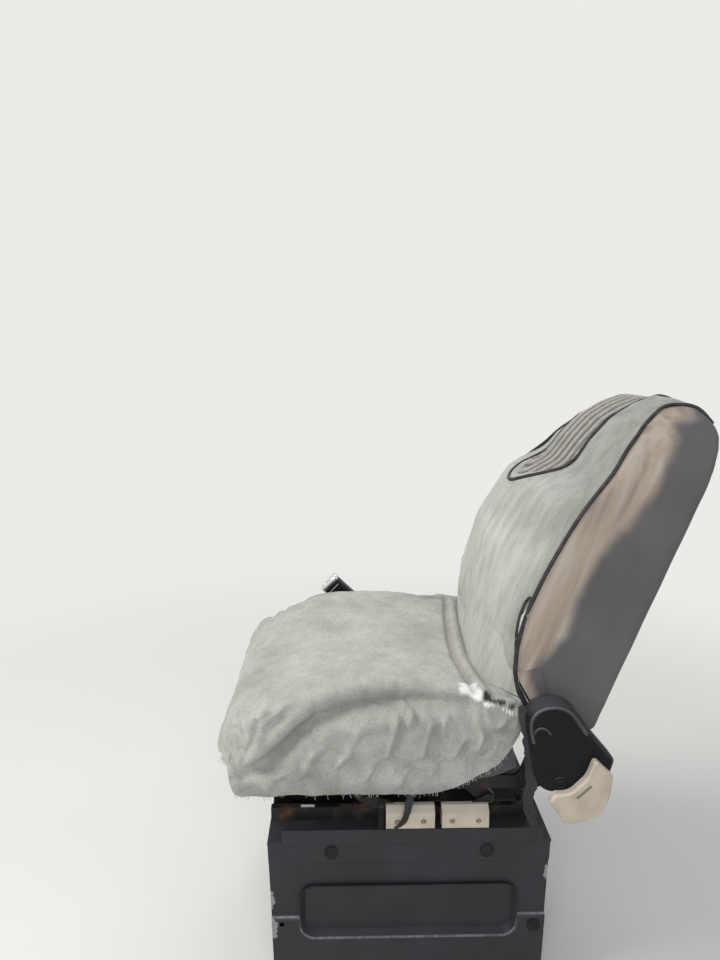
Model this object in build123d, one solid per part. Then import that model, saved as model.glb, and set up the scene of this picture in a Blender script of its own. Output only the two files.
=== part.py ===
"""Driver's seat of a light truck on its pressed steel seat box.

Millimetres, +Z up. The origin is on the floor, in the middle of the four floor bolts.
The seat faces -Y. +X is the door side, where the height grips and the recliner lever are.
The seat stands as far back on its rails as it goes.
"""
from build123d import *
import math
import os

# Seat box: length along Y, width along X, sheet steel
box_length = 480
box_width = 430
box_height = 300
box_sheet = 2
end_lean = 8            # each end panel leans in by this much on its way down
shoulder_drop = 23      # end panels stop this far under the top; the strip above is shorter
strip_front_in = 25     # how far the strip stays back from the front and the rear panel
strip_rear_in = 14
crease_upper_drop = 28
crease_lower_drop = 65
crease_step = 3         # each crease sets the panel in by this much
ledge_z = 131           # top of the proud band along the floor
recess_length = 372
recess_low_z = 92
recess_high_z = 192
recess_corner = 25
recess_depth = 13
plug_hole = 21
plug_row_drop = 44
plug_row_pitch = 264
low_plug_z = 112
low_plug_in = 24        # from the rear edge of the panel
low_slot_in = 22        # from the front edge of the panel
slot_size = 8
plug_head = 2.5
plug_lip = 3
end_swage_margin = 62
end_swage_depth = 6

# Top frame of the box and floor flanges
top_rim = 62
top_corner = 30
flange_width = 48
flange_height = 30
flange_sheet = 3
bolt_pitch_x = 376
bolt_pitch_y = 380
bolt_hole = 11

# Slide rails
rail_in = 50            # from the side of the box to the middle of the rail
rail_width = 46
rail_height = 24
rail_sheet = 2.5
rail_lip = 9
rail_stop = 20          # rail that is left behind the runner at rest
runner_length = 280
runner_rear_y = 185
runner_held = 260       # runner still in the rail with the seat fully forward
runner_gap = 0.5        # running gap under the runner
runner_foot = 38
runner_sheet = 3
runner_web = 8
runner_rise = 34        # top of the runner above the box
runner_flange = 44
slide_travel = 160

# Height adjuster between the runners and the cushion frame
tube_od = 20
tube_rise = 52          # torsion tubes above the box
tube_front_y = -70
tube_rear_y = 130
tube_in = 8             # ends of the tubes in from the side of the box
ear_sheet = 6
ear_radius = 15
fit_gap = 0.3
link_sheet = 5
link_width = 26
link_reach = 50
link_pin = 12
pin_rise = 97

# Height grips and their steel arms
grip_out = 13           # grip face out from the side of the box
grip_depth = 20
grip_height = 37
grip_rise = 10
grip_front_length = 81
grip_front_y = -0.5
grip_rear_length = 78
grip_rear_y = 91
grip_hole = 9.5
grip_hole_pitch = 43.5
grip_bevel = 9
grip_bevel_in = 11
grip_round = 2
arm_sheet = 5
arm_width = 18

# Slide release bar under the front edge
bar_od = 10
bar_front_y = -276
bar_bend = 32

# Cushion frame and springs
frame_out = 11          # frame out from the side of the box
frame_front_y = -245
frame_rear_y = 150
frame_rise = 85         # underside of the frame above the box
frame_height = 25
frame_sheet = 3
frame_flange = 18
frame_corner = 30
spring_wire = 4
spring_count = 5
spring_pitch = 82
spring_turns = 7
spring_swing = 22
spring_lead = 10
spring_rise = 15        # above the underside of the frame

# Cushion and its loose cloth cover
cushion_out = 24        # cushion out from the frame
cushion_front_y = -308
cushion_rear_y = 180
cushion_hang = 4        # hem below the frame
cushion_height = 189
cover_cloth = 5
soft_gap = 0.3
cushion_front_corner = 62
cushion_rear_corner = 26
cushion_edge_round = 42
cushion_lower_round = 30
nose_rows = [           # back from the front, above the hem, corner radius
    (46, 3, 24),
    (0, 62, 52),
]
brow_rows = [           # back from the front, below the crown, corner radius
    (0, 62, 56),
    (130, 12, 160),
    (286, 0, 400),
]
tail_rows = [           # forward from the rear, above the hem, corner radius
    (0, 62, 34),
    (118, 6, 60),
]
tail_drop = 16          # rear edge below the crown
tail_round = 30
belly_back = 150        # lowest line of the cushion, back from its front
belly_round = 60

# Recliner
pivot_y = 212
pivot_rise = 86         # above the underside of the frame
pivot_pin = 20
plate_sheet = 5
plate_gap = 0.5
plate_disc = 34
plate_boss = 26
plate_below = 2         # below the top of the frame
plate_run = 90          # along the frame
plate_corner = 6
plate_sweep = 30        # radius of the bends
arm_plate_disc = 27
arm_plate_width = 46
arm_plate_reach = 170
pin_past = 3            # pin past the upper plate
rod_od = 14
arm_plate_back = 22     # top of the upper plate, further back than its lean gives

# Recliner covers and lever
cap_out = 19.5          # inner edge of the cover out from the frame
cap_depth = 26.5
cap_wall = 2.5
cap_edge = 5
cap_boss = 24
lever_gap = 0.3
lever_thick = 13
lever_slot = 5
lever_bevel = 3
cap_rows = [            # back from the pivot, above the pivot, corner radius
    (-42, 76, 30),
    (22, 90, 45),
    (62, 36, 60),
    (104, -14, 12),
    (92, -60, 30),
    (-14, -72, 34),
    (-32, 10, 60),
]
lever_rows = [          # back from the pivot, above the pivot, corner radius
    (68, -4, 5),
    (98, -33, 8),
    (94, -72, 30),
    (82, -102, 9),
    (44, -115, 18),
    (24, -112, 7),
    (-1, -76, 6),
    (8, -63, 6),
    (32, -62, 26),
    (57, -36, 30),
]
lever_slot_ends = [(43, -68), (62, -50)]

# Backrest
back_in = 10            # backrest in from the side of the cushion
back_taper = 14         # further in at the top, each side
back_lean = 21.5        # of the rear face from upright
back_rear_y = 292       # rear face where it ends low down
back_low_rise = 15      # above the pivot
back_height = 529
back_top_corner = 148
back_relief = 45        # round hollow that clears the recliner
relief_depth = 12       # of it, in from the frame's side
board_sheet = 4
board_margin = 16
board_corner = 40
back_low_rows = [       # back from the pivot, above the pivot, corner radius
    (-24, 95, 6),
    (-95, 131, 20),
    (-70, 294, 150),
]
back_brow = 92          # top of the side view, ahead of the crown, back from the pivot
back_brow_round = 20
back_crest_round = 48
back_heel_rows = [      # back from the pivot, above the pivot, corner radius
    (-4, 19, 8),
    (-16, 58, 10),
]
crown_rows = [          # above the pivot; back from it at the side edges and in the middle
    (5, -52, -100),
    (140, -52, -96),
    (200, -43, -88),
    (294, -1, -66),
    (387, 54, -12),
    (430, 89, 62),
    (472, 120, 92),
    (507, 173, 123),
    (529, 252, 156),
    (546, 300, 200),
]

# Belt buckle on its stalk, on the side away from the door
stalk_out = 22          # out from the side of the cushion
stalk_od = 13
stalk_foot_y = 60
stalk_foot_width = 34
stalk_rise = 40
stalk_bend = 45
buckle_length = 66
buckle_width = 44
buckle_thick = 28
buckle_slot_width = 24
buckle_slot_height = 5.5
buckle_top_y = -146
buckle_over = 3         # top of the buckle above the cushion
buckle_corner = 8

half_length = box_length / 2
half_width = box_width / 2
half_rail = half_width - rail_in
tube_half = half_width - tube_in
grip_face_x = half_width + grip_out
half_frame = half_width + frame_out
half_cushion = half_frame + cushion_out
half_back = half_cushion - back_in
half_back_top = half_back - back_taper
cap_inner_x = half_frame + cap_out
cap_outer_x = cap_inner_x + cap_depth
stalk_x = -half_cushion - stalk_out
shoulder_z = box_height - shoulder_drop
crease_upper_z = box_height - crease_upper_drop
crease_lower_z = box_height - crease_lower_drop
plug_row_z = box_height - plug_row_drop
runner_top_z = box_height + runner_rise
tube_z = box_height + tube_rise
pin_z = box_height + pin_rise
grip_low_z = box_height + grip_rise
frame_low_z = box_height + frame_rise
spring_z = frame_low_z + spring_rise
cushion_low_z = frame_low_z - cushion_hang
cushion_high_z = cushion_low_z + cushion_height
pivot_z = frame_low_z + pivot_rise
back_low_z = pivot_z + back_low_rise
back_high_z = back_low_z + back_height
buckle_top_z = cushion_high_z + buckle_over
YZ = Plane(origin=(0, 0, 0), x_dir=(0, 1, 0), z_dir=(1, 0, 0))
XZ = Plane(origin=(0, 0, 0), x_dir=(1, 0, 0), z_dir=(0, -1, 0))


def prism_x(face, x_low, x_high):
    """Solid from a face drawn with (y, z), between two X planes."""
    return extrude(YZ.offset(x_low) * face, x_high - x_low, dir=YZ.z_dir)


def prism_y(face, y_low, y_high):
    """Solid from a face drawn with (x, z), between two Y planes."""
    return extrude(XZ.offset(-y_high) * face, y_high - y_low, dir=XZ.z_dir)


def prism_z(face, z_low, z_high):
    """Solid from a face drawn with (x, y), between two Z planes."""
    return extrude(Plane.XY.offset(z_low) * face, z_high - z_low, dir=Plane.XY.z_dir)


def facing_up(outline):
    """Face of a flat closed outline, with its normal along +Z whichever way it was drawn."""
    face = make_face(outline).face()
    return face if face.normal_at().Z > 0 else -face


def polygon(*points):
    return facing_up(Polyline(*points, close=True))


def rounded(points):
    """Face from corners given as (u, v, corner radius)."""
    corners = [(u, v) for u, v, radius in points]
    radii = [radius for u, v, radius in points]
    return facing_up(FilletPolyline(*corners, radius=radii, close=True))


def disc(u, v, diameter):
    return Pos(u, v) * Circle(diameter / 2)


def bar(start, end, width):
    """Flat bar with round ends, as a face."""
    (u0, v0), (u1, v1) = start, end
    length = math.hypot(u1 - u0, v1 - v0)
    turn = math.degrees(math.atan2(v1 - v0, u1 - u0))
    return Pos((u0 + u1) / 2, (v0 + v1) / 2) * Rot(0, 0, turn) * SlotCenterToCenter(length, width)


def both_sides(left):
    return left, mirror(left, about=Plane.YZ)


# Heights and outward offsets of the bends down the side panel, top to floor
def side_bends(inward):
    face = half_width - inward
    return [
        (face, box_height),
        (face, crease_upper_z + crease_step / 2),
        (face - crease_step, crease_upper_z - crease_step / 2),
        (face - crease_step, crease_lower_z + crease_step / 2),
        (face - 2 * crease_step, crease_lower_z - crease_step / 2),
        (face - 2 * crease_step, ledge_z + crease_step),
        (face, ledge_z - crease_step),
        (face, 0),
    ]


def pressing(face, x_outer, depth, wall):
    """Dished hollow and the wall behind it, pressed towards -X from the plane x_outer."""
    plane = Plane(origin=(x_outer, 0, 0), x_dir=(0, 1, 0), z_dir=(-1, 0, 0))
    flipped = mirror(face, about=Plane.XZ)
    hollow = extrude(plane * flipped, depth, dir=plane.z_dir, taper=30)
    behind = extrude(plane * offset(flipped, wall), depth + wall, dir=plane.z_dir, taper=30)
    return hollow, behind


def side_panel():
    outer = side_bends(0)
    inner = side_bends(box_sheet)
    sheet = prism_y(polygon(*outer, *reversed(inner)), -half_length, half_length)
    foot = half_length - end_lean
    outline = polygon(
        (-foot, 0),
        (foot, 0),
        (half_length, shoulder_z),
        (half_length - strip_rear_in, shoulder_z),
        (half_length - strip_rear_in, box_height),
        (strip_front_in - half_length, box_height),
        (strip_front_in - half_length, shoulder_z),
        (-half_length, shoulder_z),
    )
    recess_height = recess_high_z - recess_low_z
    recess = Pos(0, (recess_low_z + recess_high_z) / 2) * RectangleRounded(
        recess_length, recess_height, recess_corner
    )
    hollow, behind = pressing(recess, half_width, recess_depth, box_sheet)
    panel = (sheet + behind - hollow) & prism_x(outline, 0, half_width)
    holes = Sketch() + [disc(y, plug_row_z, plug_hole) for y in plug_row()]
    holes += disc(*low_plug(), plug_hole)
    holes += Pos(low_slot_in - half_length, low_plug_z + slot_size) * Rectangle(slot_size, slot_size)
    return panel - prism_x(holes, 0, half_width)


def plug_row():
    return [-plug_row_pitch / 2, plug_row_pitch / 2]


def low_plug():
    return half_length - low_plug_in, low_plug_z


def plugs():
    """Rubber plugs: a domed head outside each round hole and a lip behind the sheet."""
    row_face = half_width - crease_step
    seats = [(y, plug_row_z, row_face) for y in plug_row()]
    seats.append((*low_plug(), half_width))
    made = []
    for y, z, face in seats:
        neck = prism_x(disc(y, z, plug_hole - 2 * fit_gap), face - box_sheet - plug_lip, face)
        rim = disc(y, z, plug_hole + plug_head)
        made.append(neck + prism_x(rim, face, face + plug_head))
    return made


def end_panel(sign):
    """Front (-1) or rear (+1) panel with its shoulder and the riser up to the top frame."""
    strip_in = strip_front_in if sign < 0 else strip_rear_in
    face = half_length
    riser = half_length - strip_in
    outline = polygon(
        (face - end_lean, 0),
        (face, shoulder_z),
        (riser, shoulder_z),
        (riser, box_height - box_sheet),
        (riser - box_sheet, box_height - box_sheet),
        (riser - box_sheet, shoulder_z - box_sheet),
        (face - box_sheet, shoulder_z - box_sheet),
        (face - box_sheet - end_lean, 0),
    )
    inner = side_bends(box_sheet)
    across = [(-x, z) for x, z in reversed(inner)]
    panel = prism_x(outline, -half_width, half_width) & prism_y(
        polygon(*inner, *across), -box_length, box_length
    )
    swage_width = box_width - 2 * end_swage_margin
    swage_height = shoulder_z - 2 * end_swage_margin
    swage = RectangleRounded(swage_width, swage_height, recess_corner)
    lean = math.degrees(math.atan2(end_lean, shoulder_z))
    middle = face - end_lean / 2
    plane = Plane(origin=(0, middle, shoulder_z / 2), x_dir=(1, 0, 0), z_dir=(0, -1, 0))
    plane = plane.rotated((-lean, 0, 0))
    hollow = extrude(plane * swage, end_swage_depth, dir=plane.z_dir, taper=30)
    behind_depth = end_swage_depth + box_sheet
    behind = extrude(plane * offset(swage, box_sheet), behind_depth, dir=plane.z_dir, taper=30)
    panel = panel + behind - hollow
    return panel if sign > 0 else mirror(panel, about=Plane.XZ)


def top_frame():
    front = strip_front_in - half_length
    rear = half_length - strip_rear_in
    width = 2 * (half_width - box_sheet)
    plate = Pos(0, (front + rear) / 2) * (
        Rectangle(width, rear - front)
        - RectangleRounded(width - 2 * top_rim, rear - front - 2 * top_rim, top_corner)
    )
    return prism_z(plate, box_height - box_sheet, box_height)


def floor_flange():
    """Angle along the floor inside the side panel, with two bolt holes."""
    outer = half_width - box_sheet
    section = polygon(
        (outer, 0),
        (outer, flange_height),
        (outer - flange_sheet, flange_height),
        (outer - flange_sheet, flange_sheet),
        (outer - flange_width, flange_sheet),
        (outer - flange_width, 0),
    )
    reach = half_length - end_lean - 2 * box_sheet - flange_sheet
    angle = prism_y(section, -reach, reach)
    holes = [disc(bolt_pitch_x / 2, y, bolt_hole) for y in (-bolt_pitch_y / 2, bolt_pitch_y / 2)]
    return angle - prism_z(Sketch() + holes, 0, flange_sheet)


def lower_rail():
    half = rail_width / 2
    top = box_height + rail_height
    base = box_height + rail_sheet
    section = Pos(half_rail, 0) * polygon(
        (-half, box_height),
        (half, box_height),
        (half, top),
        (half - rail_lip - rail_sheet, top),
        (half - rail_lip - rail_sheet, top - rail_sheet),
        (half - rail_sheet, top - rail_sheet),
        (half - rail_sheet, base),
        (rail_sheet - half, base),
        (rail_sheet - half, top - rail_sheet),
        (rail_lip + rail_sheet - half, top - rail_sheet),
        (rail_lip + rail_sheet - half, top),
        (-half, top),
    )
    front = runner_rear_y - slide_travel - runner_held
    return prism_y(section, front, runner_rear_y + rail_stop)


def runner():
    """Upper rail with the two ears that carry the adjuster tubes."""
    foot_z = box_height + rail_sheet + runner_gap
    web_height = runner_top_z - foot_z
    section = Pos(half_rail, foot_z + runner_sheet / 2) * Rectangle(runner_foot, runner_sheet)
    section += Pos(half_rail, foot_z + web_height / 2) * Rectangle(runner_web, web_height)
    section += Pos(half_rail, runner_top_z - runner_sheet / 2) * Rectangle(runner_flange, runner_sheet)
    rail = prism_y(section, runner_rear_y - runner_length, runner_rear_y)
    for y in (tube_front_y, tube_rear_y):
        plate = disc(y, tube_z, 2 * ear_radius)
        plate += Pos(y, (runner_top_z + tube_z) / 2) * Rectangle(2 * ear_radius, tube_z - runner_top_z)
        plate -= disc(y, tube_z, tube_od + 2 * fit_gap)
        rail += prism_x(plate, half_rail - ear_sheet / 2, half_rail + ear_sheet / 2)
    return rail


def height_link(tube_y):
    """Torsion tube with an arm and a pin at each end, up to the cushion frame."""
    pin_y = tube_y - link_reach
    arm_in = tube_half - link_sheet
    part = prism_x(disc(tube_y, tube_z, tube_od), -tube_half, tube_half)
    arm = prism_x(bar((tube_y, tube_z), (pin_y, pin_z), link_width), arm_in, tube_half)
    pin = prism_x(disc(pin_y, pin_z, link_pin), arm_in, half_frame - frame_sheet)
    for piece in (*both_sides(arm), *both_sides(pin)):
        part += piece
    return part


def grip(centre_y, length):
    """Moulded grip with a bevelled upper edge, two holes and a pocket for its arm."""
    inner_x = grip_face_x - grip_depth
    top = grip_low_z + grip_height
    section = rounded(
        [
            (inner_x, grip_low_z, grip_round),
            (grip_face_x, grip_low_z, grip_round),
            (grip_face_x, top - grip_bevel, grip_round),
            (grip_face_x - grip_bevel_in, top, grip_round),
            (inner_x, top, grip_round),
        ]
    )
    block = prism_y(section, centre_y - length / 2, centre_y + length / 2)
    hole_z = grip_low_z + grip_height * 0.36
    holes = [disc(centre_y + side * grip_hole_pitch / 2, hole_z, grip_hole) for side in (-1, 1)]
    block -= prism_x(Sketch() + holes, grip_face_x - grip_depth / 2, grip_face_x)
    return block


def grip_arm(tube_y, grip_y):
    outline = bar((tube_y, tube_z), (grip_y, grip_low_z + grip_height / 2), arm_width)
    return prism_x(outline, tube_half, tube_half + arm_sheet)


def grip_pocket(tube_y, grip_y):
    width = arm_width + 2 * fit_gap
    outline = bar((tube_y, tube_z), (grip_y, grip_low_z + grip_height / 2), width)
    return prism_x(outline, tube_half - grip_depth, tube_half + arm_sheet + fit_gap)


def release_bar():
    end_y = tube_front_y - ear_radius - fit_gap
    z = runner_top_z + bar_od / 2
    path = FilletPolyline(
        (half_rail, end_y, z),
        (half_rail, bar_front_y, z),
        (-half_rail, bar_front_y, z),
        (-half_rail, end_y, z),
        radius=bar_bend,
    )
    return sweep(Plane(origin=path @ 0, z_dir=path % 0) * Circle(bar_od / 2), path)


def frame_ring(inward):
    length = frame_rear_y - frame_front_y
    middle = (frame_rear_y + frame_front_y) / 2
    corner = frame_corner - inward
    return Pos(0, middle) * RectangleRounded(2 * (half_frame - inward), length - 2 * inward, corner)


def cushion_frame():
    wall = frame_ring(0) - frame_ring(frame_sheet)
    flange = frame_ring(0) - frame_ring(frame_flange)
    ring = prism_z(wall, frame_low_z, frame_low_z + frame_height)
    return ring + prism_z(flange, frame_low_z, frame_low_z + frame_sheet)


def spring(x):
    """One zigzag wire from the front wall of the frame to its rear wall."""
    start = frame_front_y + frame_sheet
    first = start + spring_lead
    step = (frame_rear_y - frame_sheet - spring_lead - first) / (2 * spring_turns)
    points = [(x, start, spring_z), (x, start + spring_lead, spring_z)]
    for turn in range(spring_turns):
        side = spring_swing if turn % 2 else -spring_swing
        y = first + (2 * turn + 1) * step
        points.append((x + side, y - step / 2, spring_z))
        points.append((x + side, y + step / 2, spring_z))
    points.append((x, frame_rear_y - frame_sheet - spring_lead, spring_z))
    points.append((x, frame_rear_y - frame_sheet, spring_z))
    path = Polyline(*points)
    wire = Plane(origin=path @ 0, z_dir=path % 0) * RegularPolygon(spring_wire / 2, 8)
    return sweep(wire, path, transition=Transition.RIGHT)


def springs():
    first = -(spring_count - 1) / 2
    return [spring((first + i) * spring_pitch) for i in range(spring_count)]


def cushion_form(inward):
    """Cushion with its cover: side view, plan and front view cut one from another."""
    low = cushion_low_z + inward
    high = cushion_high_z - inward
    front = cushion_front_y + inward
    rear = cushion_rear_y - inward
    half = half_cushion - inward
    nose = [(front + y, low + z, radius - (0 if y else inward)) for y, z, radius in nose_rows]
    brow = [(front + y, high - z, radius - (0 if y else inward)) for y, z, radius in brow_rows]
    tail = [(rear - y, low + z, radius) for y, z, radius in tail_rows]
    crest = (rear, high - tail_drop, tail_round)
    belly = (front + belly_back, low, belly_round)
    side = rounded([*nose, *brow, crest, *tail, belly])
    front_corner = cushion_front_corner - inward
    rear_corner = cushion_rear_corner - inward
    proud = 1
    plan = rounded(
        [
            (-half - proud, front - proud, front_corner),
            (half + proud, front - proud, front_corner),
            (half + proud, rear + proud, rear_corner),
            (-half - proud, rear + proud, rear_corner),
        ]
    )
    lower_round = cushion_lower_round - inward
    upper_round = cushion_edge_round - inward
    across = rounded(
        [
            (-half, low - proud, lower_round),
            (half, low - proud, lower_round),
            (half, high + proud, upper_round),
            (-half, high + proud, upper_round),
        ]
    )
    form = prism_x(side, -2 * half, 2 * half)
    form &= prism_z(plan, 0, 2 * high)
    return form & prism_y(across, 2 * front, -2 * front)


def cushion_cover():
    """Loose cover: a skin over the cushion, open below, down past the frame to its hem."""
    shell = cushion_form(0) - cushion_form(cover_cloth)
    plan = Pos(0, (cushion_front_y + cushion_rear_y) / 2) * RectangleRounded(
        2 * (half_cushion - cover_cloth),
        cushion_rear_y - cushion_front_y - 2 * cover_cloth,
        cushion_rear_corner,
    )
    return shell - prism_z(plan, 0, frame_low_z + frame_height + cushion_lower_round)


def cushion_pad():
    form = cushion_form(cover_cloth + soft_gap)
    floor = frame_low_z + frame_height + soft_gap
    keep = prism_z(Rectangle(4 * half_cushion, 8 * half_cushion), floor, cushion_high_z)
    return form & keep


def recliner_plate():
    """Lower plate: along the frame, then up behind the cushion to the pivot, with its pin."""
    top = frame_low_z + frame_height - plate_below
    start = frame_rear_y - plate_run
    outline = rounded(
        [
            (start, frame_low_z, plate_corner),
            (pivot_y + plate_corner, frame_low_z, plate_sweep),
            (pivot_y + plate_disc, pivot_z - plate_boss, plate_sweep),
            (pivot_y + plate_disc, pivot_z, plate_corner),
            (pivot_y - plate_disc / 2, pivot_z, plate_corner),
            (cushion_rear_y + plate_corner, top + plate_disc, plate_sweep - plate_corner),
            (cushion_rear_y - plate_corner, top, plate_sweep / 2),
            (start, top, plate_corner),
        ]
    )
    outline += disc(pivot_y, pivot_z, 2 * plate_boss)
    plate = prism_x(outline, half_frame, half_frame + plate_sheet)
    pin_in = half_frame - plate_gap - plate_sheet - pin_past
    return plate + prism_x(disc(pivot_y, pivot_z, pivot_pin), pin_in, half_frame + plate_sheet)


def arm_plate(clear=0):
    """Upper plate: from the pivot up into the backrest."""
    lean = math.radians(back_lean)
    reach = arm_plate_reach
    top = (pivot_y + arm_plate_back + reach * math.sin(lean), pivot_z + reach * math.cos(lean))
    outline = bar((pivot_y, pivot_z), top, arm_plate_width + 2 * clear)
    outline += disc(pivot_y, pivot_z, 2 * arm_plate_disc)
    outer = half_frame - plate_gap
    plate = prism_x(outline, outer - plate_sheet - clear, outer + clear)
    if clear:
        return plate
    bore = disc(pivot_y, pivot_z, pivot_pin + 2 * fit_gap)
    return plate - prism_x(bore, outer - plate_sheet, outer)


def recliner_rod():
    half = half_frame - plate_gap - plate_sheet - pin_past
    return prism_x(disc(pivot_y, pivot_z, rod_od), -half, half)


def from_pivot(rows):
    """Corners from rows of back, up and corner radius, measured from the pivot."""
    return [(pivot_y + back, pivot_z + up, radius) for back, up, radius in rows]


def cap_outline(inward=0):
    face = rounded(from_pivot(cap_rows))
    return offset(face, -inward) if inward else face


def recliner_cap():
    """Moulded cover of the hinge, open inward, with a boss down to the plate."""
    body = prism_x(cap_outline(), cap_inner_x, cap_outer_x)
    body = chamfer(body.faces().sort_by(Axis.X)[-1].edges(), cap_edge)
    hollow = prism_x(cap_outline(cap_wall), cap_inner_x, cap_outer_x - cap_wall)
    body -= chamfer(hollow.faces().sort_by(Axis.X)[-1].edges(), cap_edge - cap_wall / 2)
    face_x = half_frame + plate_sheet
    boss = disc(pivot_y, pivot_z, cap_boss) - disc(pivot_y, pivot_z, cap_boss - 2 * cap_wall)
    return body + prism_x(boss, face_x, cap_outer_x - cap_wall)


def lever():
    """Curved grip under the cap, with its slot and a bevelled face."""
    inner_x = cap_outer_x + lever_gap
    body = prism_x(rounded(from_pivot(lever_rows)), inner_x, inner_x + lever_thick)
    body = chamfer(body.faces().sort_by(Axis.X)[-1].edges(), lever_bevel)
    slot = bar(*[(pivot_y + back, pivot_z + up) for back, up in lever_slot_ends], lever_slot)
    return body - prism_x(slot, inner_x + 2, inner_x + lever_thick)


def back_side_view():
    """Backrest from the side, its front edge where the middle of the crown is."""
    rear_top = back_rear_y + back_height * math.tan(math.radians(back_lean))
    return rounded(
        [
            *from_pivot(back_low_rows),
            (pivot_y + back_brow, back_high_z, back_brow_round),
            (rear_top, back_high_z, back_crest_round),
            (back_rear_y, back_low_z, board_margin / 2),
            *from_pivot(back_heel_rows),
        ]
    )


def back_crown():
    """Everything behind the crowned front, from level sections."""
    behind = pivot_y + back_height
    faces = []
    for up, edge_back, middle_back in crown_rows:
        z = pivot_z + up
        edge = pivot_y + edge_back
        middle = pivot_y + middle_back
        outline = Curve() + [
            ThreePointArc((-half_back, edge, z), (0, middle, z), (half_back, edge, z)),
            Line((half_back, edge, z), (half_back, behind, z)),
            Line((half_back, behind, z), (-half_back, behind, z)),
            Line((-half_back, behind, z), (-half_back, edge, z)),
        ]
        faces.append(make_face(outline))
    return loft(faces, ruled=True)


def backrest_pad():
    form = prism_x(back_side_view(), -half_back, half_back) & back_crown()
    foot_z = back_low_z - board_margin / 2
    front_view = rounded(
        [
            (-half_back, foot_z, board_sheet),
            (half_back, foot_z, board_sheet),
            (half_back_top, back_high_z, back_top_corner),
            (-half_back_top, back_high_z, back_top_corner),
        ]
    )
    form &= prism_y(front_view, pivot_y - back_height, pivot_y + back_height)
    relief = prism_x(disc(pivot_y, pivot_z, 2 * back_relief), half_frame - relief_depth, half_back)
    for side in (*both_sides(relief), *both_sides(arm_plate(soft_gap))):
        form -= side
    return form


def back_board():
    """Board that closes the rear of the backrest."""
    lean = math.radians(back_lean)
    length = back_height / math.cos(lean) - back_top_corner - 2 * board_margin
    plane = Plane(
        origin=(0, back_rear_y + soft_gap / math.cos(lean), back_low_z),
        x_dir=(1, 0, 0),
        z_dir=(0, math.cos(lean), -math.sin(lean)),
    )
    width = 2 * (half_back_top - board_margin)
    outline = Pos(0, -board_margin - length / 2) * RectangleRounded(width, length, board_corner)
    return extrude(plane * outline, board_sheet, dir=plane.z_dir)


def buckle_line():
    """Unit direction of the stalk's long run, up and forward."""
    dy = buckle_top_y - stalk_foot_y
    dz = buckle_top_z - runner_top_z - runner_sheet - stalk_rise
    length = math.hypot(dy, dz)
    return dy / length, dz / length


def buckle_stalk():
    """Sleeved stalk and its steel foot, which is bolted on the runner."""
    dy, dz = buckle_line()
    runner_edge = runner_flange / 2 - half_rail
    reach = runner_edge - stalk_x + stalk_od
    foot = Pos(runner_edge - reach / 2, stalk_foot_y) * Rectangle(reach, stalk_foot_width)
    plate = prism_z(foot, runner_top_z, runner_top_z + runner_sheet)
    foot_z = runner_top_z + runner_sheet
    end_y = buckle_top_y - dy * buckle_length
    end_z = buckle_top_z - dz * buckle_length
    path = FilletPolyline(
        (stalk_x, stalk_foot_y, foot_z),
        (stalk_x, stalk_foot_y, foot_z + stalk_rise),
        (stalk_x, end_y, end_z),
        radius=stalk_bend,
    )
    sleeve = sweep(Plane(origin=path @ 0, z_dir=path % 0) * Circle(stalk_od / 2), path)
    return plate + sleeve


def belt_buckle():
    dy, dz = buckle_line()
    plane = Plane(
        origin=(stalk_x, buckle_top_y, buckle_top_z),
        x_dir=(1, 0, 0),
        z_dir=(0, -dy, -dz),
    )
    face = plane * RectangleRounded(buckle_thick, buckle_width, buckle_corner)
    mouth = plane * Rectangle(buckle_slot_height, buckle_slot_width)
    body = extrude(face, buckle_length, dir=plane.z_dir)
    slot = extrude(mouth, buckle_length / 2, dir=plane.z_dir)
    return body - slot


def build():
    box_side_left, box_side_right = both_sides(side_panel())
    flange_left, flange_right = both_sides(floor_flange())
    rail_left, rail_right = both_sides(lower_rail())
    runner_left, runner_right = both_sides(runner())
    plate_left, plate_right = both_sides(recliner_plate())
    arm_left, arm_right = both_sides(arm_plate())
    cap_left, cap_right = both_sides(recliner_cap())
    left_plugs = plugs()
    all_plugs = left_plugs + [mirror(plug, about=Plane.YZ) for plug in left_plugs]
    grip_front = grip(grip_front_y, grip_front_length) - grip_pocket(tube_front_y, grip_front_y)
    grip_rear = grip(grip_rear_y, grip_rear_length) - grip_pocket(tube_rear_y, grip_rear_y)
    return {
        "box_side_left": box_side_left,
        "box_side_right": box_side_right,
        "box_front": end_panel(-1),
        "box_rear": end_panel(1),
        "box_top": top_frame(),
        "box_plugs": Compound(children=all_plugs),
        "floor_flange_left": flange_left,
        "floor_flange_right": flange_right,
        "rail_left": rail_left,
        "rail_right": rail_right,
        "runner_left": runner_left,
        "runner_right": runner_right,
        "height_link_front": height_link(tube_front_y),
        "height_link_rear": height_link(tube_rear_y),
        "grip_front": grip_front,
        "grip_rear": grip_rear,
        "grip_arm_front": grip_arm(tube_front_y, grip_front_y),
        "grip_arm_rear": grip_arm(tube_rear_y, grip_rear_y),
        "release_bar": release_bar(),
        "cushion_frame": cushion_frame(),
        "cushion_springs": Compound(children=springs()),
        "cushion_pad": cushion_pad(),
        "cushion_cover": cushion_cover(),
        "recliner_plate_left": plate_left,
        "recliner_plate_right": plate_right,
        "recliner_rod": recliner_rod(),
        "recliner_cap_left": cap_left,
        "recliner_cap_right": cap_right,
        "recliner_lever": lever(),
        "buckle_stalk": buckle_stalk(),
        "belt_buckle": belt_buckle(),
        "backrest_pad": backrest_pad(),
        "backrest_board": back_board(),
        "arm_plate_left": arm_left,
        "arm_plate_right": arm_right,
    }


os.makedirs("parts", exist_ok=True)
for name, shape in build().items():
    export_step(shape, f"parts/{name}.step")
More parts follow.
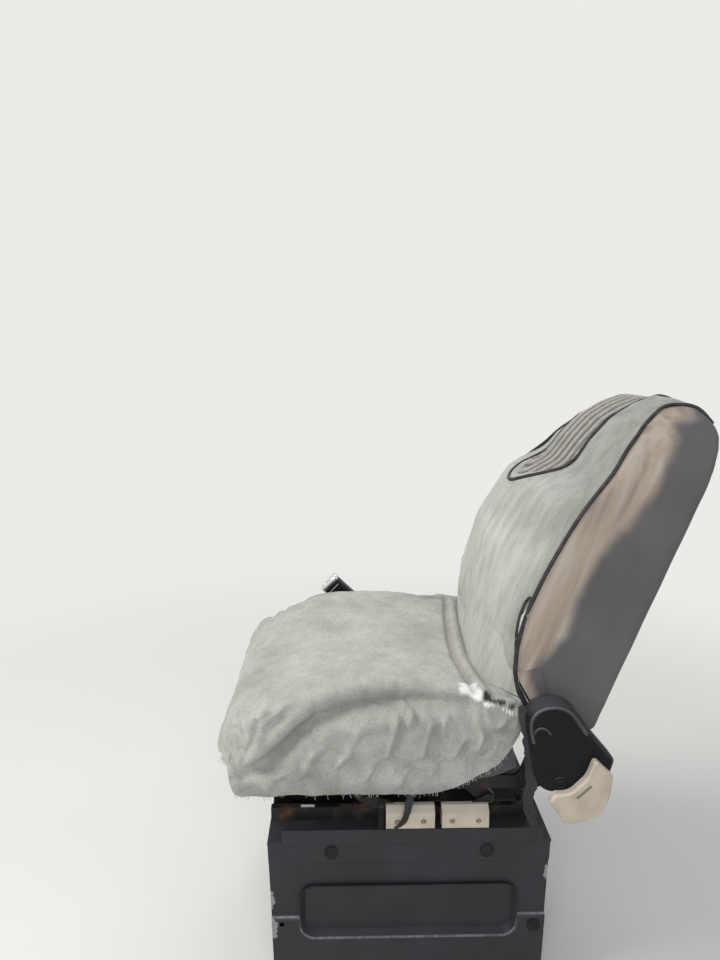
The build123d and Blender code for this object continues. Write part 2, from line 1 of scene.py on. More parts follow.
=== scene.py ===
"""Driver's seat of a light truck: its upholstery, finishes, small hardware, light and camera.

Lengths in the code are millimetres unless a name says otherwise; meshes are written in metres.
The seat faces -Y and its door side is +X.
"""
import math

import bpy
import numpy as np
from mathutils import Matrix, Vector, noise
from mathutils.bvhtree import BVHTree


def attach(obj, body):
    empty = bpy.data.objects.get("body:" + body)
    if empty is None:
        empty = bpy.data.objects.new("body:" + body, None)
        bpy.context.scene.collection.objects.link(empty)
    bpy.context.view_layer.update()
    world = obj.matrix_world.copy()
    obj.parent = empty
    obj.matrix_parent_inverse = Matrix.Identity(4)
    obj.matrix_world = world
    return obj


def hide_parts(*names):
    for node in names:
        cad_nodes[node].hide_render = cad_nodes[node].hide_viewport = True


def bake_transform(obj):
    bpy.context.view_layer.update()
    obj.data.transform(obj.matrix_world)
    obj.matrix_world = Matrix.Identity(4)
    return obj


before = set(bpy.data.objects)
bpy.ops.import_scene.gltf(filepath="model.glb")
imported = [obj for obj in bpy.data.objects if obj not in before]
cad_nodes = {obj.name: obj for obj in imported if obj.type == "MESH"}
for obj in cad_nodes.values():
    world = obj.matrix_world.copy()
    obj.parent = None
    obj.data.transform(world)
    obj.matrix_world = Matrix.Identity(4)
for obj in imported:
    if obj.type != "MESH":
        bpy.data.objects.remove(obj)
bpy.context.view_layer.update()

MM = 0.001
DOOR = 1
INBOARD = -1

# Camera, as the photo was taken: eye in metres
PICTURE_HIGH_PX = 960
FOCAL_PX = 700
SENSOR_HIGH = 36
EYE = Vector((1.265, -0.106, 1.087))
LOOK_DOWN = math.radians(10.283)
LOOK_TO_REAR = math.radians(1.208)
BACKDROP = "#ecebe8"

# Pressed door side of the seat box
RECESS_MIDDLE_Z = 142
RECESS_HALF_Z = 50
RECESS_HALF_Y = 186
RECESS_CORNER = 25
LEDGE_Z = 131.5
# the two steps of the side get dark lines of painted shade
CREASES_Z = (272, 235)
HIGHLIGHT_BELOW_Z = 116    # painted highlight, with some rubbed paint, only on the recess's low edge and its two corners
CHIP_SQUEEZE = 0.35     # the chips are taller than wide
PAINT_CHIPS = [         # x, y, z, radius
    (212, -236, 164, 11), (214, -233, 112, 13), (211, 237, 208, 9)]

SMOOTHINGS = 8          # rounds that even out a form wrapped round a solid

# Cushion cover on the door side: y and z of its lines
HEM = [
    (-400, 384), (-246, 383), (-194, 386), (-124, 382), (-90, 385), (-37, 379), (15, 390), (77, 408),
    (129, 436), (152, 462), (180, 505), (300, 505)]
VALLEY = [
    (-262, 404), (-243, 437), (-218, 466), (-187, 499), (-152, 524), (-110, 539), (-55, 548),
    (-20, 552), (15, 552), (49, 549), (84, 546)]
FOLDS = [               # upper end, lower end, height, half width
    ((-26, 534), (-50, 446), 13, 5.5), ((-1, 540), (-14, 506), 9, 4.5), ((28, 526), (8, 448), 13, 5.5),
    ((52, 533), (40, 484), 9, 4.5), ((80, 496), (58, 446), 10, 5), ((-78, 524), (-124, 434), 9, 7),
    ((-146, 488), (-190, 412), 8, 7), ((112, 505), (94, 456), 7, 5), ((-56, 470), (-84, 406), 8, 6),
    ((-6, 446), (-24, 404), 7, 5), ((-108, 470), (-138, 410), 7, 6), ((44, 462), (24, 414), 6, 5),
    ((-206, 442), (-224, 404), 6, 5), ((150, 524), (127, 500), 9, 5)]
FRONT_FULLER = [        # z, how much further forward
    (382, 11), (400, 18), (420, 19), (440, 13), (460, 8), (480, 4), (500, 0)]
FRONT_CREASE = [(-247, 528), (-254, 486), (-262, 430)]
CORNER_PUCKERS = [      # one end, other end, height
    ((-249, 530), (-228, 541), 3), ((-247, 512), (-204, 543), 4), ((-240, 494), (-182, 533), 3.5)]
REAR_TUCK = [(-240, 118), (-200, 113), (-110, 99), (20, 87), (110, 83), (190, 90), (240, 99)]      # x, y
SETTLING_STEPS = 8      # frames of cloth simulation
SETTLED_AT_MOST = 6
CORE_SUNK = 6           # the core lies this far below the form of its solid, clear of the cover
WHITE_WEAR = [(82, 561), (92, 559), (102, 556)]
TEAR = [(108, 552), (127, 550), (141, 544), (163, 535)]

# Backrest
BACK_LEAN = 21.5        # degrees
BACK_MIDDLE_Y = 340     # well inside the backrest
WELT_HANGS_BELOW = 596  # z below which the side welt hangs free of the backrest
SIDE_WELT = [           # x, y, z up the door side and over the shoulder
    (238, 190, 529), (238, 171, 549), (237, 162, 581), (236, 160, 610), (235, 165, 650), (234, 177, 692),
    (233, 196, 738), (232, 219, 784), (230, 249, 838), (222, 299, 905), (208, 326, 943), (190, 350, 970),
    (167, 376, 990), (146, 404, 1003), (139, 432, 1006), (141, 455, 1002), (150, 470, 994), (168, 485, 979)]
HEAD_EDGE = [           # x, y, z of the head panel's door side, from its corner over the top
    (101, 280, 904), (94, 305, 938), (89, 330, 967), (84, 355, 989), (80, 380, 1004), (77, 405, 1013),
    (76, 430, 1015), (76, 452, 1008), (76, 468, 996)]
COVER_SLIPPED = 22      # the loose cover has slipped inboard, and its opening is that much wider there
WELT_SLIPPED = 16       # and its inboard welt that far to the rear
WELT_AT_SHOULDER = 9    # the point of SIDE_WELT from which the line runs over the shoulder
SHOULDER_Z = 915        # above it the welt bounds the front by its x
PRESSED_IN = 23         # depth of the far shoulder's dent
WELT_RADIUS = 3.3
HEAD_LOW = [(-101, 904), (-66, 887), (-30, 871), (0, 865), (30, 871), (66, 887), (101, 904)]    # x, z
RIB_PITCH = 27.5
# line that bounds the tan dust, which also paints the light on the side panel's front part
DUST_AND_LIGHT_EDGE = [           # y, z
    (172, 500), (179, 545), (186, 569), (196, 594), (216, 622), (237, 650), (251, 694), (267, 733),
    (280, 775), (303, 800), (328, 825), (355, 862), (387, 917), (401, 947), (413, 976), (450, 992),
    (470, 1030)]
TAIL_LOW = [            # x, y, z where the plush is tucked in behind the cushion
    (-222, 150, 548), (-190, 139, 549), (-140, 130, 550), (-60, 121, 550), (0, 117, 550), (94, 110, 551),
    (150, 112, 551), (190, 128, 551), (222, 156, 550), (237, 172, 547)]
LOW_FOLD = [(-130, 652), (-60, 622), (-20, 598)]     # x, z
GREYER_FROM_Z = 792   # the plush is greyer from here up to the head panel
TORN_LINING = [(231, 185, 704), (231, 172, 676), (234, 165, 648)]
CORNER_FRONT = [(236, 163, 592), (237, 168, 577), (238, 180, 555), (238, 193, 532)]
CORNER_REAR = [(239, 200, 597), (240, 204, 580), (240, 210, 560), (240, 216, 536)]
FROM_FRONT = -300       # y from which rays look for the backrest's front
FROM_REAR = 700         # and its rear
TO_REAR = Vector((0, 1, 0))
TO_FRONT = Vector((0, -1, 0))
TORN_WELT = [(228, 181, 712), (224, 174, 700), (227, 166, 677), (230, 161, 650), (235, 160, 622)]


def look(obj, place, direction):
    """Places a camera or a lamp and turns it towards direction."""
    obj.location = place
    obj.rotation_euler = Vector(direction).to_track_quat("-Z", "Y").to_euler()
    bpy.context.collection.objects.link(obj)
    return obj


def soft_box(name, place, target, size, power, colour):
    """A square area lamp, in metres and watts."""
    data = bpy.data.lights.new(name, "AREA")
    data.size = size
    data.energy = power
    data.color = linear(colour)[:3]
    return look(bpy.data.objects.new(name, data), place, Vector(target) - Vector(place))


def linear(hex_value):
    """Linear colour of an sRGB hex value."""
    channels = [int(hex_value[i:i + 2], 16) / 255 for i in (1, 3, 5)]
    return [*(c / 12.92 if c <= 0.04045 else ((c + 0.055) / 1.055) ** 2.4 for c in channels), 1.0]


def add(tree, kind, settings=None, inputs=None):
    """Adds a node; an input, by name or number, takes a value, a hex colour, a node, or a node's output."""
    made = tree.nodes.new(kind)
    for name, value in (settings or {}).items():
        if name == "stops":
            ramp = made.color_ramp.elements
            while len(ramp) < len(value):
                ramp.new(1.0)
            for stop, (place, colour) in zip(ramp, value):
                stop.position = place
                stop.color = linear(colour)
        else:
            setattr(made, name, value)
    for name, value in (inputs or {}).items():
        if isinstance(name, int):
            socket = made.inputs[name]
        else:
            socket = next(s for s in made.inputs if s.enabled and s.name == name)
        if isinstance(value, bpy.types.Node):
            value = (value, next(s.name for s in value.outputs if s.enabled))
        if isinstance(value, tuple) and isinstance(value[0], bpy.types.Node):
            source, output = value
            tree.links.new(next(s for s in source.outputs if s.enabled and s.name == output), socket)
        else:
            socket.default_value = linear(value) if isinstance(value, str) else value
    return made


def per_metre(size_mm):
    """Scale of a noise whose features are size_mm wide."""
    return 1000 / size_mm


def new_material(name):
    """An empty node material with its object coordinates."""
    made = bpy.data.materials.new(name)
    made.use_nodes = True
    made.node_tree.nodes.clear()
    place = add(made.node_tree, "ShaderNodeTexCoord")
    return made, made.node_tree, (place, "Object")


def worn_terry():
    """Worn cotton terry of the loose cover: matt, nubbly, dusty grey-cream, thin and white where rubbed,
    darker towards the hem, painted shade in the valley and the rear tuck.
    """
    made, tree, place = new_material("cotton_terry_worn")
    cloud = add(tree, "ShaderNodeTexNoise", {}, {"Vector": place, "Scale": per_metre(110), "Detail": 4.0})
    toned = add(tree, "ShaderNodeValToRGB",
                 {"stops": [(0.34, "#adaca6"), (0.5, "#bab9b2"), (0.66, "#c4c3bc")]},
                 {"Fac": (cloud, "Fac")})
    blotch = add(tree, "ShaderNodeTexNoise", {}, {"Vector": place, "Scale": per_metre(24), "Detail": 5.0})
    tone = add(tree, "ShaderNodeValToRGB", {"stops": [(0.3, "#cdccc6"), (0.7, "#ffffff")]},
               {"Fac": (blotch, "Fac")})
    spread = add(tree, "ShaderNodeMix", {"data_type": "RGBA", "blend_type": "MULTIPLY"},
                 {"Factor": 0.5, "A": toned, "B": tone})
    # the loops of the terry are 1.5 mm apart; drawn 2.5 mm so that they show
    loops = add(tree, "ShaderNodeTexNoise", {}, {"Vector": place, "Scale": per_metre(2.5), "Detail": 2.0})
    nub = add(tree, "ShaderNodeValToRGB", {"stops": [(0.35, "#b4b2ac"), (0.65, "#ffffff")]},
              {"Fac": (loops, "Fac")})
    flecked = add(tree, "ShaderNodeMix", {"data_type": "RGBA", "blend_type": "MULTIPLY"},
                  {"Factor": 0.4, "A": spread, "B": nub})
    worn = add(tree, "ShaderNodeAttribute", {"attribute_name": "worn_thin"})
    bleached = add(tree, "ShaderNodeMix", {"data_type": "RGBA"},
                   {"Factor": (worn, "Fac"), "A": flecked, "B": "#efeeec"})
    # darker towards the hem, with painted shade in the valley and along the rear tuck
    grime = add(tree, "ShaderNodeAttribute", {"attribute_name": "grime"})
    darkened = add(tree, "ShaderNodeMix", {"data_type": "RGBA", "blend_type": "MULTIPLY"},
                {"Factor": (grime, "Fac"), "A": bleached, "B": "#7d776e"})
    torn = add(tree, "ShaderNodeAttribute", {"attribute_name": "torn"})
    opened = add(tree, "ShaderNodeMix", {"data_type": "RGBA"},
                 {"Factor": (torn, "Fac"), "A": darkened, "B": "#3b352f"})
    relief = add(tree, "ShaderNodeBump", {}, {"Strength": 0.55, "Distance": 0.0016, "Height": (loops, "Fac")})
    surface = add(tree, "ShaderNodeBsdfPrincipled", {}, {
        "Base Color": opened, "Roughness": 0.95, "Sheen Weight": 0.2, "Sheen Roughness": 0.6,
        "Specular IOR Level": 0.2, "Normal": relief})
    add(tree, "ShaderNodeOutputMaterial", {}, {"Surface": surface})
    return made


def along_the_lean(tree, place, across_mm, along_mm):
    """Coordinates drawn out along the backrest, for streaks that run up it."""
    turned = add(tree, "ShaderNodeMapping", {"vector_type": "POINT"},
                 {"Vector": place, "Rotation": (math.radians(BACK_LEAN), 0.0, 0.0)})
    return add(tree, "ShaderNodeMapping", {"vector_type": "POINT"}, {
        "Vector": turned, "Scale": (per_metre(across_mm), per_metre(across_mm), per_metre(along_mm))})


def seat_plush():
    """Short-pile seat plush: matt, rubbed pale in streaks up the backrest, greyer below the head, darker
    along the welt, with brown dirt and painted shade in the low fold.
    """
    made, tree, place = new_material("seat_plush_worn")
    cloud = add(tree, "ShaderNodeTexNoise", {}, {"Vector": place, "Scale": per_metre(160), "Detail": 3.0})
    base = add(tree, "ShaderNodeValToRGB",
               {"stops": [(0.35, "#b7b7b1"), (0.5, "#c0c1ba"), (0.65, "#c6c6bd")]},
               {"Fac": (cloud, "Fac")})
    drawn = along_the_lean(tree, place, 16, 110)
    streak = add(tree, "ShaderNodeTexNoise", {},
                 {"Vector": drawn, "Scale": 1.0, "Detail": 6.0, "Roughness": 0.6})
    brushed = add(tree, "ShaderNodeValToRGB", {"stops": [(0.36, "#c4c4c1"), (0.6, "#ffffff")]},
                  {"Fac": (streak, "Fac")})
    rubbed = add(tree, "ShaderNodeMix", {"data_type": "RGBA", "blend_type": "MULTIPLY"},
                 {"Factor": 0.5, "A": base, "B": brushed})
    # the tufts are 1 mm apart; drawn 2 mm so that they show
    tufts = add(tree, "ShaderNodeTexNoise", {}, {"Vector": place, "Scale": per_metre(2.0), "Detail": 2.0})
    grain = add(tree, "ShaderNodeValToRGB", {"stops": [(0.35, "#c2c0bb"), (0.65, "#ffffff")]},
                {"Fac": (tufts, "Fac")})
    flecked = add(tree, "ShaderNodeMix", {"data_type": "RGBA", "blend_type": "MULTIPLY"},
                  {"Factor": 0.35, "A": rubbed, "B": grain})
    greyed = add(tree, "ShaderNodeAttribute", {"attribute_name": "greyed"})
    dulled = add(tree, "ShaderNodeMix", {"data_type": "RGBA", "blend_type": "MULTIPLY"},
                 {"Factor": (greyed, "Fac"), "A": flecked, "B": "#f1f0f1"})
    # darker along the welt, with brown dirt and painted shade in the low fold's dent
    grime = add(tree, "ShaderNodeAttribute", {"attribute_name": "grime"})
    darkened = add(tree, "ShaderNodeMix", {"data_type": "RGBA", "blend_type": "MULTIPLY"},
                {"Factor": (grime, "Fac"), "A": dulled, "B": "#877e70"})
    relief = add(tree, "ShaderNodeBump", {}, {"Strength": 0.4, "Distance": 0.0012, "Height": (tufts, "Fac")})
    surface = add(tree, "ShaderNodeBsdfPrincipled", {}, {
        "Base Color": darkened, "Roughness": 0.93, "Sheen Weight": 0.2, "Sheen Roughness": 0.5,
        "Specular IOR Level": 0.2, "Normal": relief})
    add(tree, "ShaderNodeOutputMaterial", {}, {"Surface": surface})
    return made


def ribbed_velour():
    """Ribbed velour of the head panel: grey-brown, with painted shade between the ribs and a painted
    highlight on the crests, which are also rubbed pale.
    """
    made, tree, place = new_material("ribbed_velour")
    # the colour follows the ribs: painted shade in their grooves and a painted highlight on their crests
    crest = add(tree, "ShaderNodeAttribute", {"attribute_name": "rib_crest"})
    shade = add(tree, "ShaderNodeValToRGB",
                {"stops": [(0.0, "#57524e"), (0.3, "#7f7b75"), (0.75, "#a4a19a")]},
                {"Fac": (crest, "Fac")})
    fine = along_the_lean(tree, place, 4, 120)
    cord = add(tree, "ShaderNodeTexNoise", {}, {"Vector": fine, "Scale": 1.0, "Detail": 3.0})
    lines = add(tree, "ShaderNodeValToRGB", {"stops": [(0.35, "#b5afaa"), (0.6, "#ffffff")]},
                {"Fac": (cord, "Fac")})
    lined = add(tree, "ShaderNodeMix", {"data_type": "RGBA", "blend_type": "MULTIPLY"},
                {"Factor": 0.55, "A": shade, "B": lines})
    tufts = add(tree, "ShaderNodeTexNoise", {}, {"Vector": place, "Scale": per_metre(2.0), "Detail": 3.0})
    relief = add(tree, "ShaderNodeBump", {}, {"Strength": 0.4, "Distance": 0.0012, "Height": (tufts, "Fac")})
    surface = add(tree, "ShaderNodeBsdfPrincipled", {}, {
        "Base Color": lined, "Roughness": 0.9, "Sheen Weight": 0.3, "Sheen Roughness": 0.45,
        "Specular IOR Level": 0.2, "Normal": relief})
    add(tree, "ShaderNodeOutputMaterial", {}, {"Surface": surface})
    return made


def dust_and_light_vinyl():
    """Grained seat vinyl of the side panels: dark grey, with tan dust rubbed into its front half in streaks
    that also paints the light falling on that part.
    """
    made, tree, place = new_material("grained_vinyl_dust_and_painted_light")
    drawn = along_the_lean(tree, place, 20, 190)
    streak = add(tree, "ShaderNodeTexNoise", {}, {"Vector": drawn, "Scale": 1.0, "Detail": 3.0})
    dust = add(tree, "ShaderNodeValToRGB",
               {"stops": [(0.35, "#94867a"), (0.5, "#a8988a"), (0.66, "#b0a79b")]},
               {"Fac": (streak, "Fac")})
    cloud = add(tree, "ShaderNodeTexNoise", {}, {"Vector": place, "Scale": per_metre(130), "Detail": 3.0})
    grey = add(tree, "ShaderNodeValToRGB", {"stops": [(0.35, "#535153"), (0.65, "#605e5e")]},
               {"Fac": (cloud, "Fac")})
    # tan dust that also paints the light falling on the front part of the side panels
    cover = add(tree, "ShaderNodeAttribute", {"attribute_name": "dust_cover"})
    panel = add(tree, "ShaderNodeMix", {"data_type": "RGBA"},
                {"Factor": (cover, "Fac"), "A": grey, "B": dust})
    # the grain's cells are 1 mm across; drawn 1.6 mm so that they show
    cells = add(tree, "ShaderNodeTexVoronoi", {"feature": "DISTANCE_TO_EDGE"},
                {"Vector": place, "Scale": per_metre(1.6)})
    relief = add(tree, "ShaderNodeBump", {},
                 {"Strength": 0.25, "Distance": 0.0004, "Height": (cells, "Distance")})
    gloss = add(tree, "ShaderNodeMapRange", {}, {"Value": (cover, "Fac"), "To Min": 0.52, "To Max": 0.85})
    surface = add(tree, "ShaderNodeBsdfPrincipled", {}, {
        "Base Color": panel, "Roughness": gloss, "Specular IOR Level": 0.35, "Normal": relief})
    add(tree, "ShaderNodeOutputMaterial", {}, {"Surface": surface})
    return made


def grained_vinyl(name, dark, light, grain_mm=1.6):
    """Grained vinyl over a board or a skirt: satin, with scuffs that leave it a little paler."""
    made, tree, place = new_material(name)
    cloud = add(tree, "ShaderNodeTexNoise", {}, {"Vector": place, "Scale": per_metre(70), "Detail": 5.0})
    grey = add(tree, "ShaderNodeValToRGB", {"stops": [(0.35, dark), (0.7, light)]}, {"Fac": (cloud, "Fac")})
    cells = add(tree, "ShaderNodeTexVoronoi", {"feature": "DISTANCE_TO_EDGE"},
                {"Vector": place, "Scale": per_metre(grain_mm)})
    relief = add(tree, "ShaderNodeBump", {},
                 {"Strength": 0.3, "Distance": 0.0005, "Height": (cells, "Distance")})
    gloss = add(tree, "ShaderNodeMapRange", {}, {"Value": (cloud, "Fac"), "To Min": 0.45, "To Max": 0.65})
    surface = add(tree, "ShaderNodeBsdfPrincipled", {}, {
        "Base Color": grey, "Roughness": gloss, "Specular IOR Level": 0.35, "Normal": relief})
    add(tree, "ShaderNodeOutputMaterial", {}, {"Surface": surface})
    return made


def vinyl_piping():
    """Vinyl welt over a cord: near black, satin, greyed by dust in places."""
    made, tree, place = new_material("vinyl_welt")
    worn = add(tree, "ShaderNodeTexNoise", {}, {"Vector": place, "Scale": per_metre(18), "Detail": 4.0})
    colour = add(tree, "ShaderNodeValToRGB",
                 {"stops": [(0.4, "#232124"), (0.62, "#322f2f"), (0.8, "#56514c")]},
                 {"Fac": (worn, "Fac")})
    relief = add(tree, "ShaderNodeBump", {}, {"Strength": 0.3, "Distance": 0.0006, "Height": (worn, "Fac")})
    surface = add(tree, "ShaderNodeBsdfPrincipled", {}, {
        "Base Color": colour, "Roughness": 0.6, "Specular IOR Level": 0.35, "Normal": relief})
    add(tree, "ShaderNodeOutputMaterial", {}, {"Surface": surface})
    return made


def pressed_steel_paint():
    """Satin charcoal paint on pressed steel: painted highlight with some rubbed paint on the pressed edges,
    painted shade in the creases, chips.
    """
    made, tree, place = new_material("satin_paint_on_pressed_steel")
    cloud = add(tree, "ShaderNodeTexNoise", {}, {"Vector": place, "Scale": per_metre(90), "Detail": 5.0})
    paint = add(tree, "ShaderNodeValToRGB", {"stops": [(0.35, "#2b2a2e"), (0.7, "#343338")]},
                {"Fac": (cloud, "Fac")})
    rub = add(tree, "ShaderNodeTexNoise", {}, {"Vector": place, "Scale": per_metre(8), "Detail": 6.0})
    # distance to the rounded outline of the recess
    lowered = add(tree, "ShaderNodeVectorMath", {"operation": "SUBTRACT"},
                  {0: place, 1: (0, 0, RECESS_MIDDLE_Z * MM)})
    folded = add(tree, "ShaderNodeVectorMath", {"operation": "ABSOLUTE"}, {0: lowered})
    straight = (1, (RECESS_HALF_Y - RECESS_CORNER) * MM, (RECESS_HALF_Z - RECESS_CORNER) * MM)
    beyond = add(tree, "ShaderNodeVectorMath", {"operation": "SUBTRACT"}, {0: folded, 1: straight})
    outside = add(tree, "ShaderNodeVectorMath", {"operation": "MAXIMUM"}, {0: beyond, 1: (0, 0, 0)})
    off_corner = add(tree, "ShaderNodeVectorMath", {"operation": "LENGTH"}, {0: outside})
    outline = add(tree, "ShaderNodeMath", {"operation": "COMPARE"},
                  {0: (off_corner, "Value"), 1: (RECESS_CORNER + 0.5) * MM, 2: 1.6 * MM})
    spot = add(tree, "ShaderNodeSeparateXYZ", {}, {0: place})
    mirrored = add(tree, "ShaderNodeSeparateXYZ", {}, {0: folded})
    on_side = add(tree, "ShaderNodeMath", {"operation": "GREATER_THAN"}, {0: (mirrored, "X"), 1: 0.2})
    # painted highlight, with some rubbed paint, along the recess's low edge and the ledge where light catches
    # them; chips join it
    low_part = add(tree, "ShaderNodeMapRange", {}, {
        "Value": (spot, "Z"), "From Min": (HIGHLIGHT_BELOW_Z + 10) * MM, "From Max": (HIGHLIGHT_BELOW_Z - 12) * MM,
        "To Min": 0.0, "To Max": 1.0})
    low_edge = add(tree, "ShaderNodeMath", {"operation": "MULTIPLY"}, {0: outline, 1: low_part})
    at_ledge = add(tree, "ShaderNodeMath", {"operation": "COMPARE"},
                   {0: (spot, "Z"), 1: LEDGE_Z * MM, 2: 1.2 * MM})
    past_recess = add(tree, "ShaderNodeMath", {"operation": "GREATER_THAN"},
                      {0: (mirrored, "Y"), 1: (RECESS_HALF_Y + 1) * MM})
    ledge = add(tree, "ShaderNodeMath", {"operation": "MULTIPLY"}, {0: at_ledge, 1: past_recess})
    pressed = add(tree, "ShaderNodeMath", {"operation": "MAXIMUM"}, {0: low_edge, 1: ledge})
    patchy = add(tree, "ShaderNodeMapRange", {}, {
        "Value": (rub, "Fac"), "From Min": 0.36, "From Max": 0.6, "To Min": 0.25, "To Max": 0.6})
    rubbed = add(tree, "ShaderNodeMath", {"operation": "MULTIPLY"}, {0: pressed, 1: patchy})
    highlight_and_chips = add(tree, "ShaderNodeMath", {"operation": "MULTIPLY"}, {0: rubbed, 1: on_side})
    tall = add(tree, "ShaderNodeVectorMath", {"operation": "MULTIPLY"}, {0: place, 1: (1, 1, CHIP_SQUEEZE)})
    for x, y, z, radius in PAINT_CHIPS:
        away = add(tree, "ShaderNodeVectorMath", {"operation": "DISTANCE"},
                   {0: tall, 1: (x * MM, y * MM, CHIP_SQUEEZE * z * MM)})
        near = add(tree, "ShaderNodeMapRange", {}, {
            "Value": (away, "Value"), "From Min": radius * MM, "From Max": radius * 0.4 * MM,
            "To Min": 0.0, "To Max": 0.6})
        ragged = add(tree, "ShaderNodeMath", {"operation": "ADD"}, {0: near, 1: (rub, "Fac")})
        chip = add(tree, "ShaderNodeMath", {"operation": "GREATER_THAN"}, {0: ragged, 1: 0.93})
        highlight_and_chips = add(tree, "ShaderNodeMath", {"operation": "MAXIMUM"}, {0: highlight_and_chips, 1: chip})
    # painted shade: dark round the recess's upper outline and along the two steps, where shade falls under
    # them
    above_ledge = add(tree, "ShaderNodeMath", {"operation": "GREATER_THAN"}, {0: (spot, "Z"), 1: 0.15})
    toned = add(tree, "ShaderNodeMath", {"operation": "MULTIPLY"}, {0: outline, 1: above_ledge})
    for crease_z in CREASES_Z:
        line = add(tree, "ShaderNodeMath", {"operation": "COMPARE"},
                   {0: (spot, "Z"), 1: crease_z * MM, 2: 1.2 * MM})
        toned = add(tree, "ShaderNodeMath", {"operation": "MAXIMUM"}, {0: toned, 1: line})
    painted_shade_on_side = add(tree, "ShaderNodeMath", {"operation": "MULTIPLY"}, {0: toned, 1: on_side})
    painted_shade = add(tree, "ShaderNodeMath", {"operation": "MULTIPLY"}, {0: painted_shade_on_side, 1: 0.6})
    darkened = add(tree, "ShaderNodeMix", {"data_type": "RGBA"}, {"Factor": painted_shade, "A": paint, "B": "#1a191b"})
    colour = add(tree, "ShaderNodeMix", {"data_type": "RGBA"}, {"Factor": highlight_and_chips, "A": darkened, "B": "#8d8c92"})
    gloss = add(tree, "ShaderNodeMapRange", {}, {"Value": (cloud, "Fac"), "To Min": 0.42, "To Max": 0.62})
    peel = add(tree, "ShaderNodeTexNoise", {}, {"Vector": place, "Scale": per_metre(3.5), "Detail": 1.0})
    relief = add(tree, "ShaderNodeBump", {}, {"Strength": 0.15, "Distance": 0.0004, "Height": (peel, "Fac")})
    surface = add(tree, "ShaderNodeBsdfPrincipled", {}, {
        "Base Color": colour, "Roughness": gloss, "Specular IOR Level": 0.3, "Normal": relief})
    add(tree, "ShaderNodeOutputMaterial", {}, {"Surface": surface})
    return made


def rusted_enamel(name, bare_from=0.5):
    """Black enamelled steel of slides and adjuster: satin, dusty, with brown rust where it has rubbed."""
    made, tree, place = new_material(name)
    patch = add(tree, "ShaderNodeTexNoise", {}, {"Vector": place, "Scale": per_metre(38), "Detail": 8.0})
    rust = add(tree, "ShaderNodeValToRGB", {
        "stops": [(bare_from, "#161516"), (bare_from + 0.1, "#231f1e"), (bare_from + 0.18, "#49321f"),
                  (bare_from + 0.3, "#6b4630")]}, {"Fac": (patch, "Fac")})
    gloss = add(tree, "ShaderNodeMapRange", {}, {
        "Value": (patch, "Fac"), "From Min": bare_from, "From Max": bare_from + 0.2,
        "To Min": 0.45, "To Max": 0.9})
    pits = add(tree, "ShaderNodeTexNoise", {}, {"Vector": place, "Scale": per_metre(2.5), "Detail": 4.0})
    relief = add(tree, "ShaderNodeBump", {}, {"Strength": 0.25, "Distance": 0.0005, "Height": (pits, "Fac")})
    surface = add(tree, "ShaderNodeBsdfPrincipled", {}, {
        "Base Color": rust, "Roughness": gloss, "Specular IOR Level": 0.3, "Normal": relief})
    add(tree, "ShaderNodeOutputMaterial", {}, {"Surface": surface})
    return made


def bare_steel(name, colour, roughness, grain_mm=0.8):
    """Bare or plated steel, drawn or pressed: grey metal with a fine dull grain."""
    made, tree, place = new_material(name)
    fine = add(tree, "ShaderNodeTexNoise", {}, {"Vector": place, "Scale": per_metre(12), "Detail": 6.0})
    dull = add(tree, "ShaderNodeMapRange", {}, {
        "Value": (fine, "Fac"), "To Min": roughness - 0.08, "To Max": roughness + 0.15})
    grain = add(tree, "ShaderNodeTexNoise", {},
                {"Vector": place, "Scale": per_metre(grain_mm), "Detail": 2.0})
    relief = add(tree, "ShaderNodeBump", {}, {"Strength": 0.15, "Distance": 0.0002, "Height": (grain, "Fac")})
    surface = add(tree, "ShaderNodeBsdfPrincipled", {}, {
        "Base Color": colour, "Metallic": 1.0, "Roughness": dull, "Normal": relief})
    add(tree, "ShaderNodeOutputMaterial", {}, {"Surface": surface})
    return made


def moulded_plastic(name, dark, light, dust, roughness, shine, grain_mm=0.9, depth_mm=0.15):
    """Moulded plastic with a fine spark-eroded grain: satin, unevenly grimy, with dust and a painted
    highlight on what faces up.
    """
    made, tree, place = new_material(name)
    cloud = add(tree, "ShaderNodeTexNoise", {}, {"Vector": place, "Scale": per_metre(28), "Detail": 5.0})
    tone = add(tree, "ShaderNodeValToRGB", {"stops": [(0.35, dark), (0.65, light)]}, {"Fac": (cloud, "Fac")})
    faces = add(tree, "ShaderNodeNewGeometry")
    facing = add(tree, "ShaderNodeSeparateXYZ", {}, {0: (faces, "Normal")})
    # dust and a painted highlight on what faces up, paler the more it faces up
    up_dust_and_highlight = add(tree, "ShaderNodeMapRange", {}, {
        "Value": (facing, "Z"), "From Min": 0.25, "From Max": 0.95, "To Min": 0.0, "To Max": 0.75})
    with_dust_and_highlight = add(tree, "ShaderNodeMix", {"data_type": "RGBA"}, {"Factor": up_dust_and_highlight, "A": tone, "B": dust})
    grain = add(tree, "ShaderNodeTexNoise", {},
                {"Vector": place, "Scale": per_metre(grain_mm), "Detail": 2.0})
    relief = add(tree, "ShaderNodeBump", {}, {
        "Strength": 0.3, "Distance": depth_mm * MM, "Height": (grain, "Fac")})
    dull = add(tree, "ShaderNodeMapRange", {}, {
        "Value": (cloud, "Fac"), "To Min": roughness - 0.06, "To Max": roughness + 0.1})
    surface = add(tree, "ShaderNodeBsdfPrincipled", {}, {
        "Base Color": with_dust_and_highlight, "Roughness": dull, "IOR": 1.53, "Specular IOR Level": shine, "Normal": relief})
    add(tree, "ShaderNodeOutputMaterial", {}, {"Surface": surface})
    return made


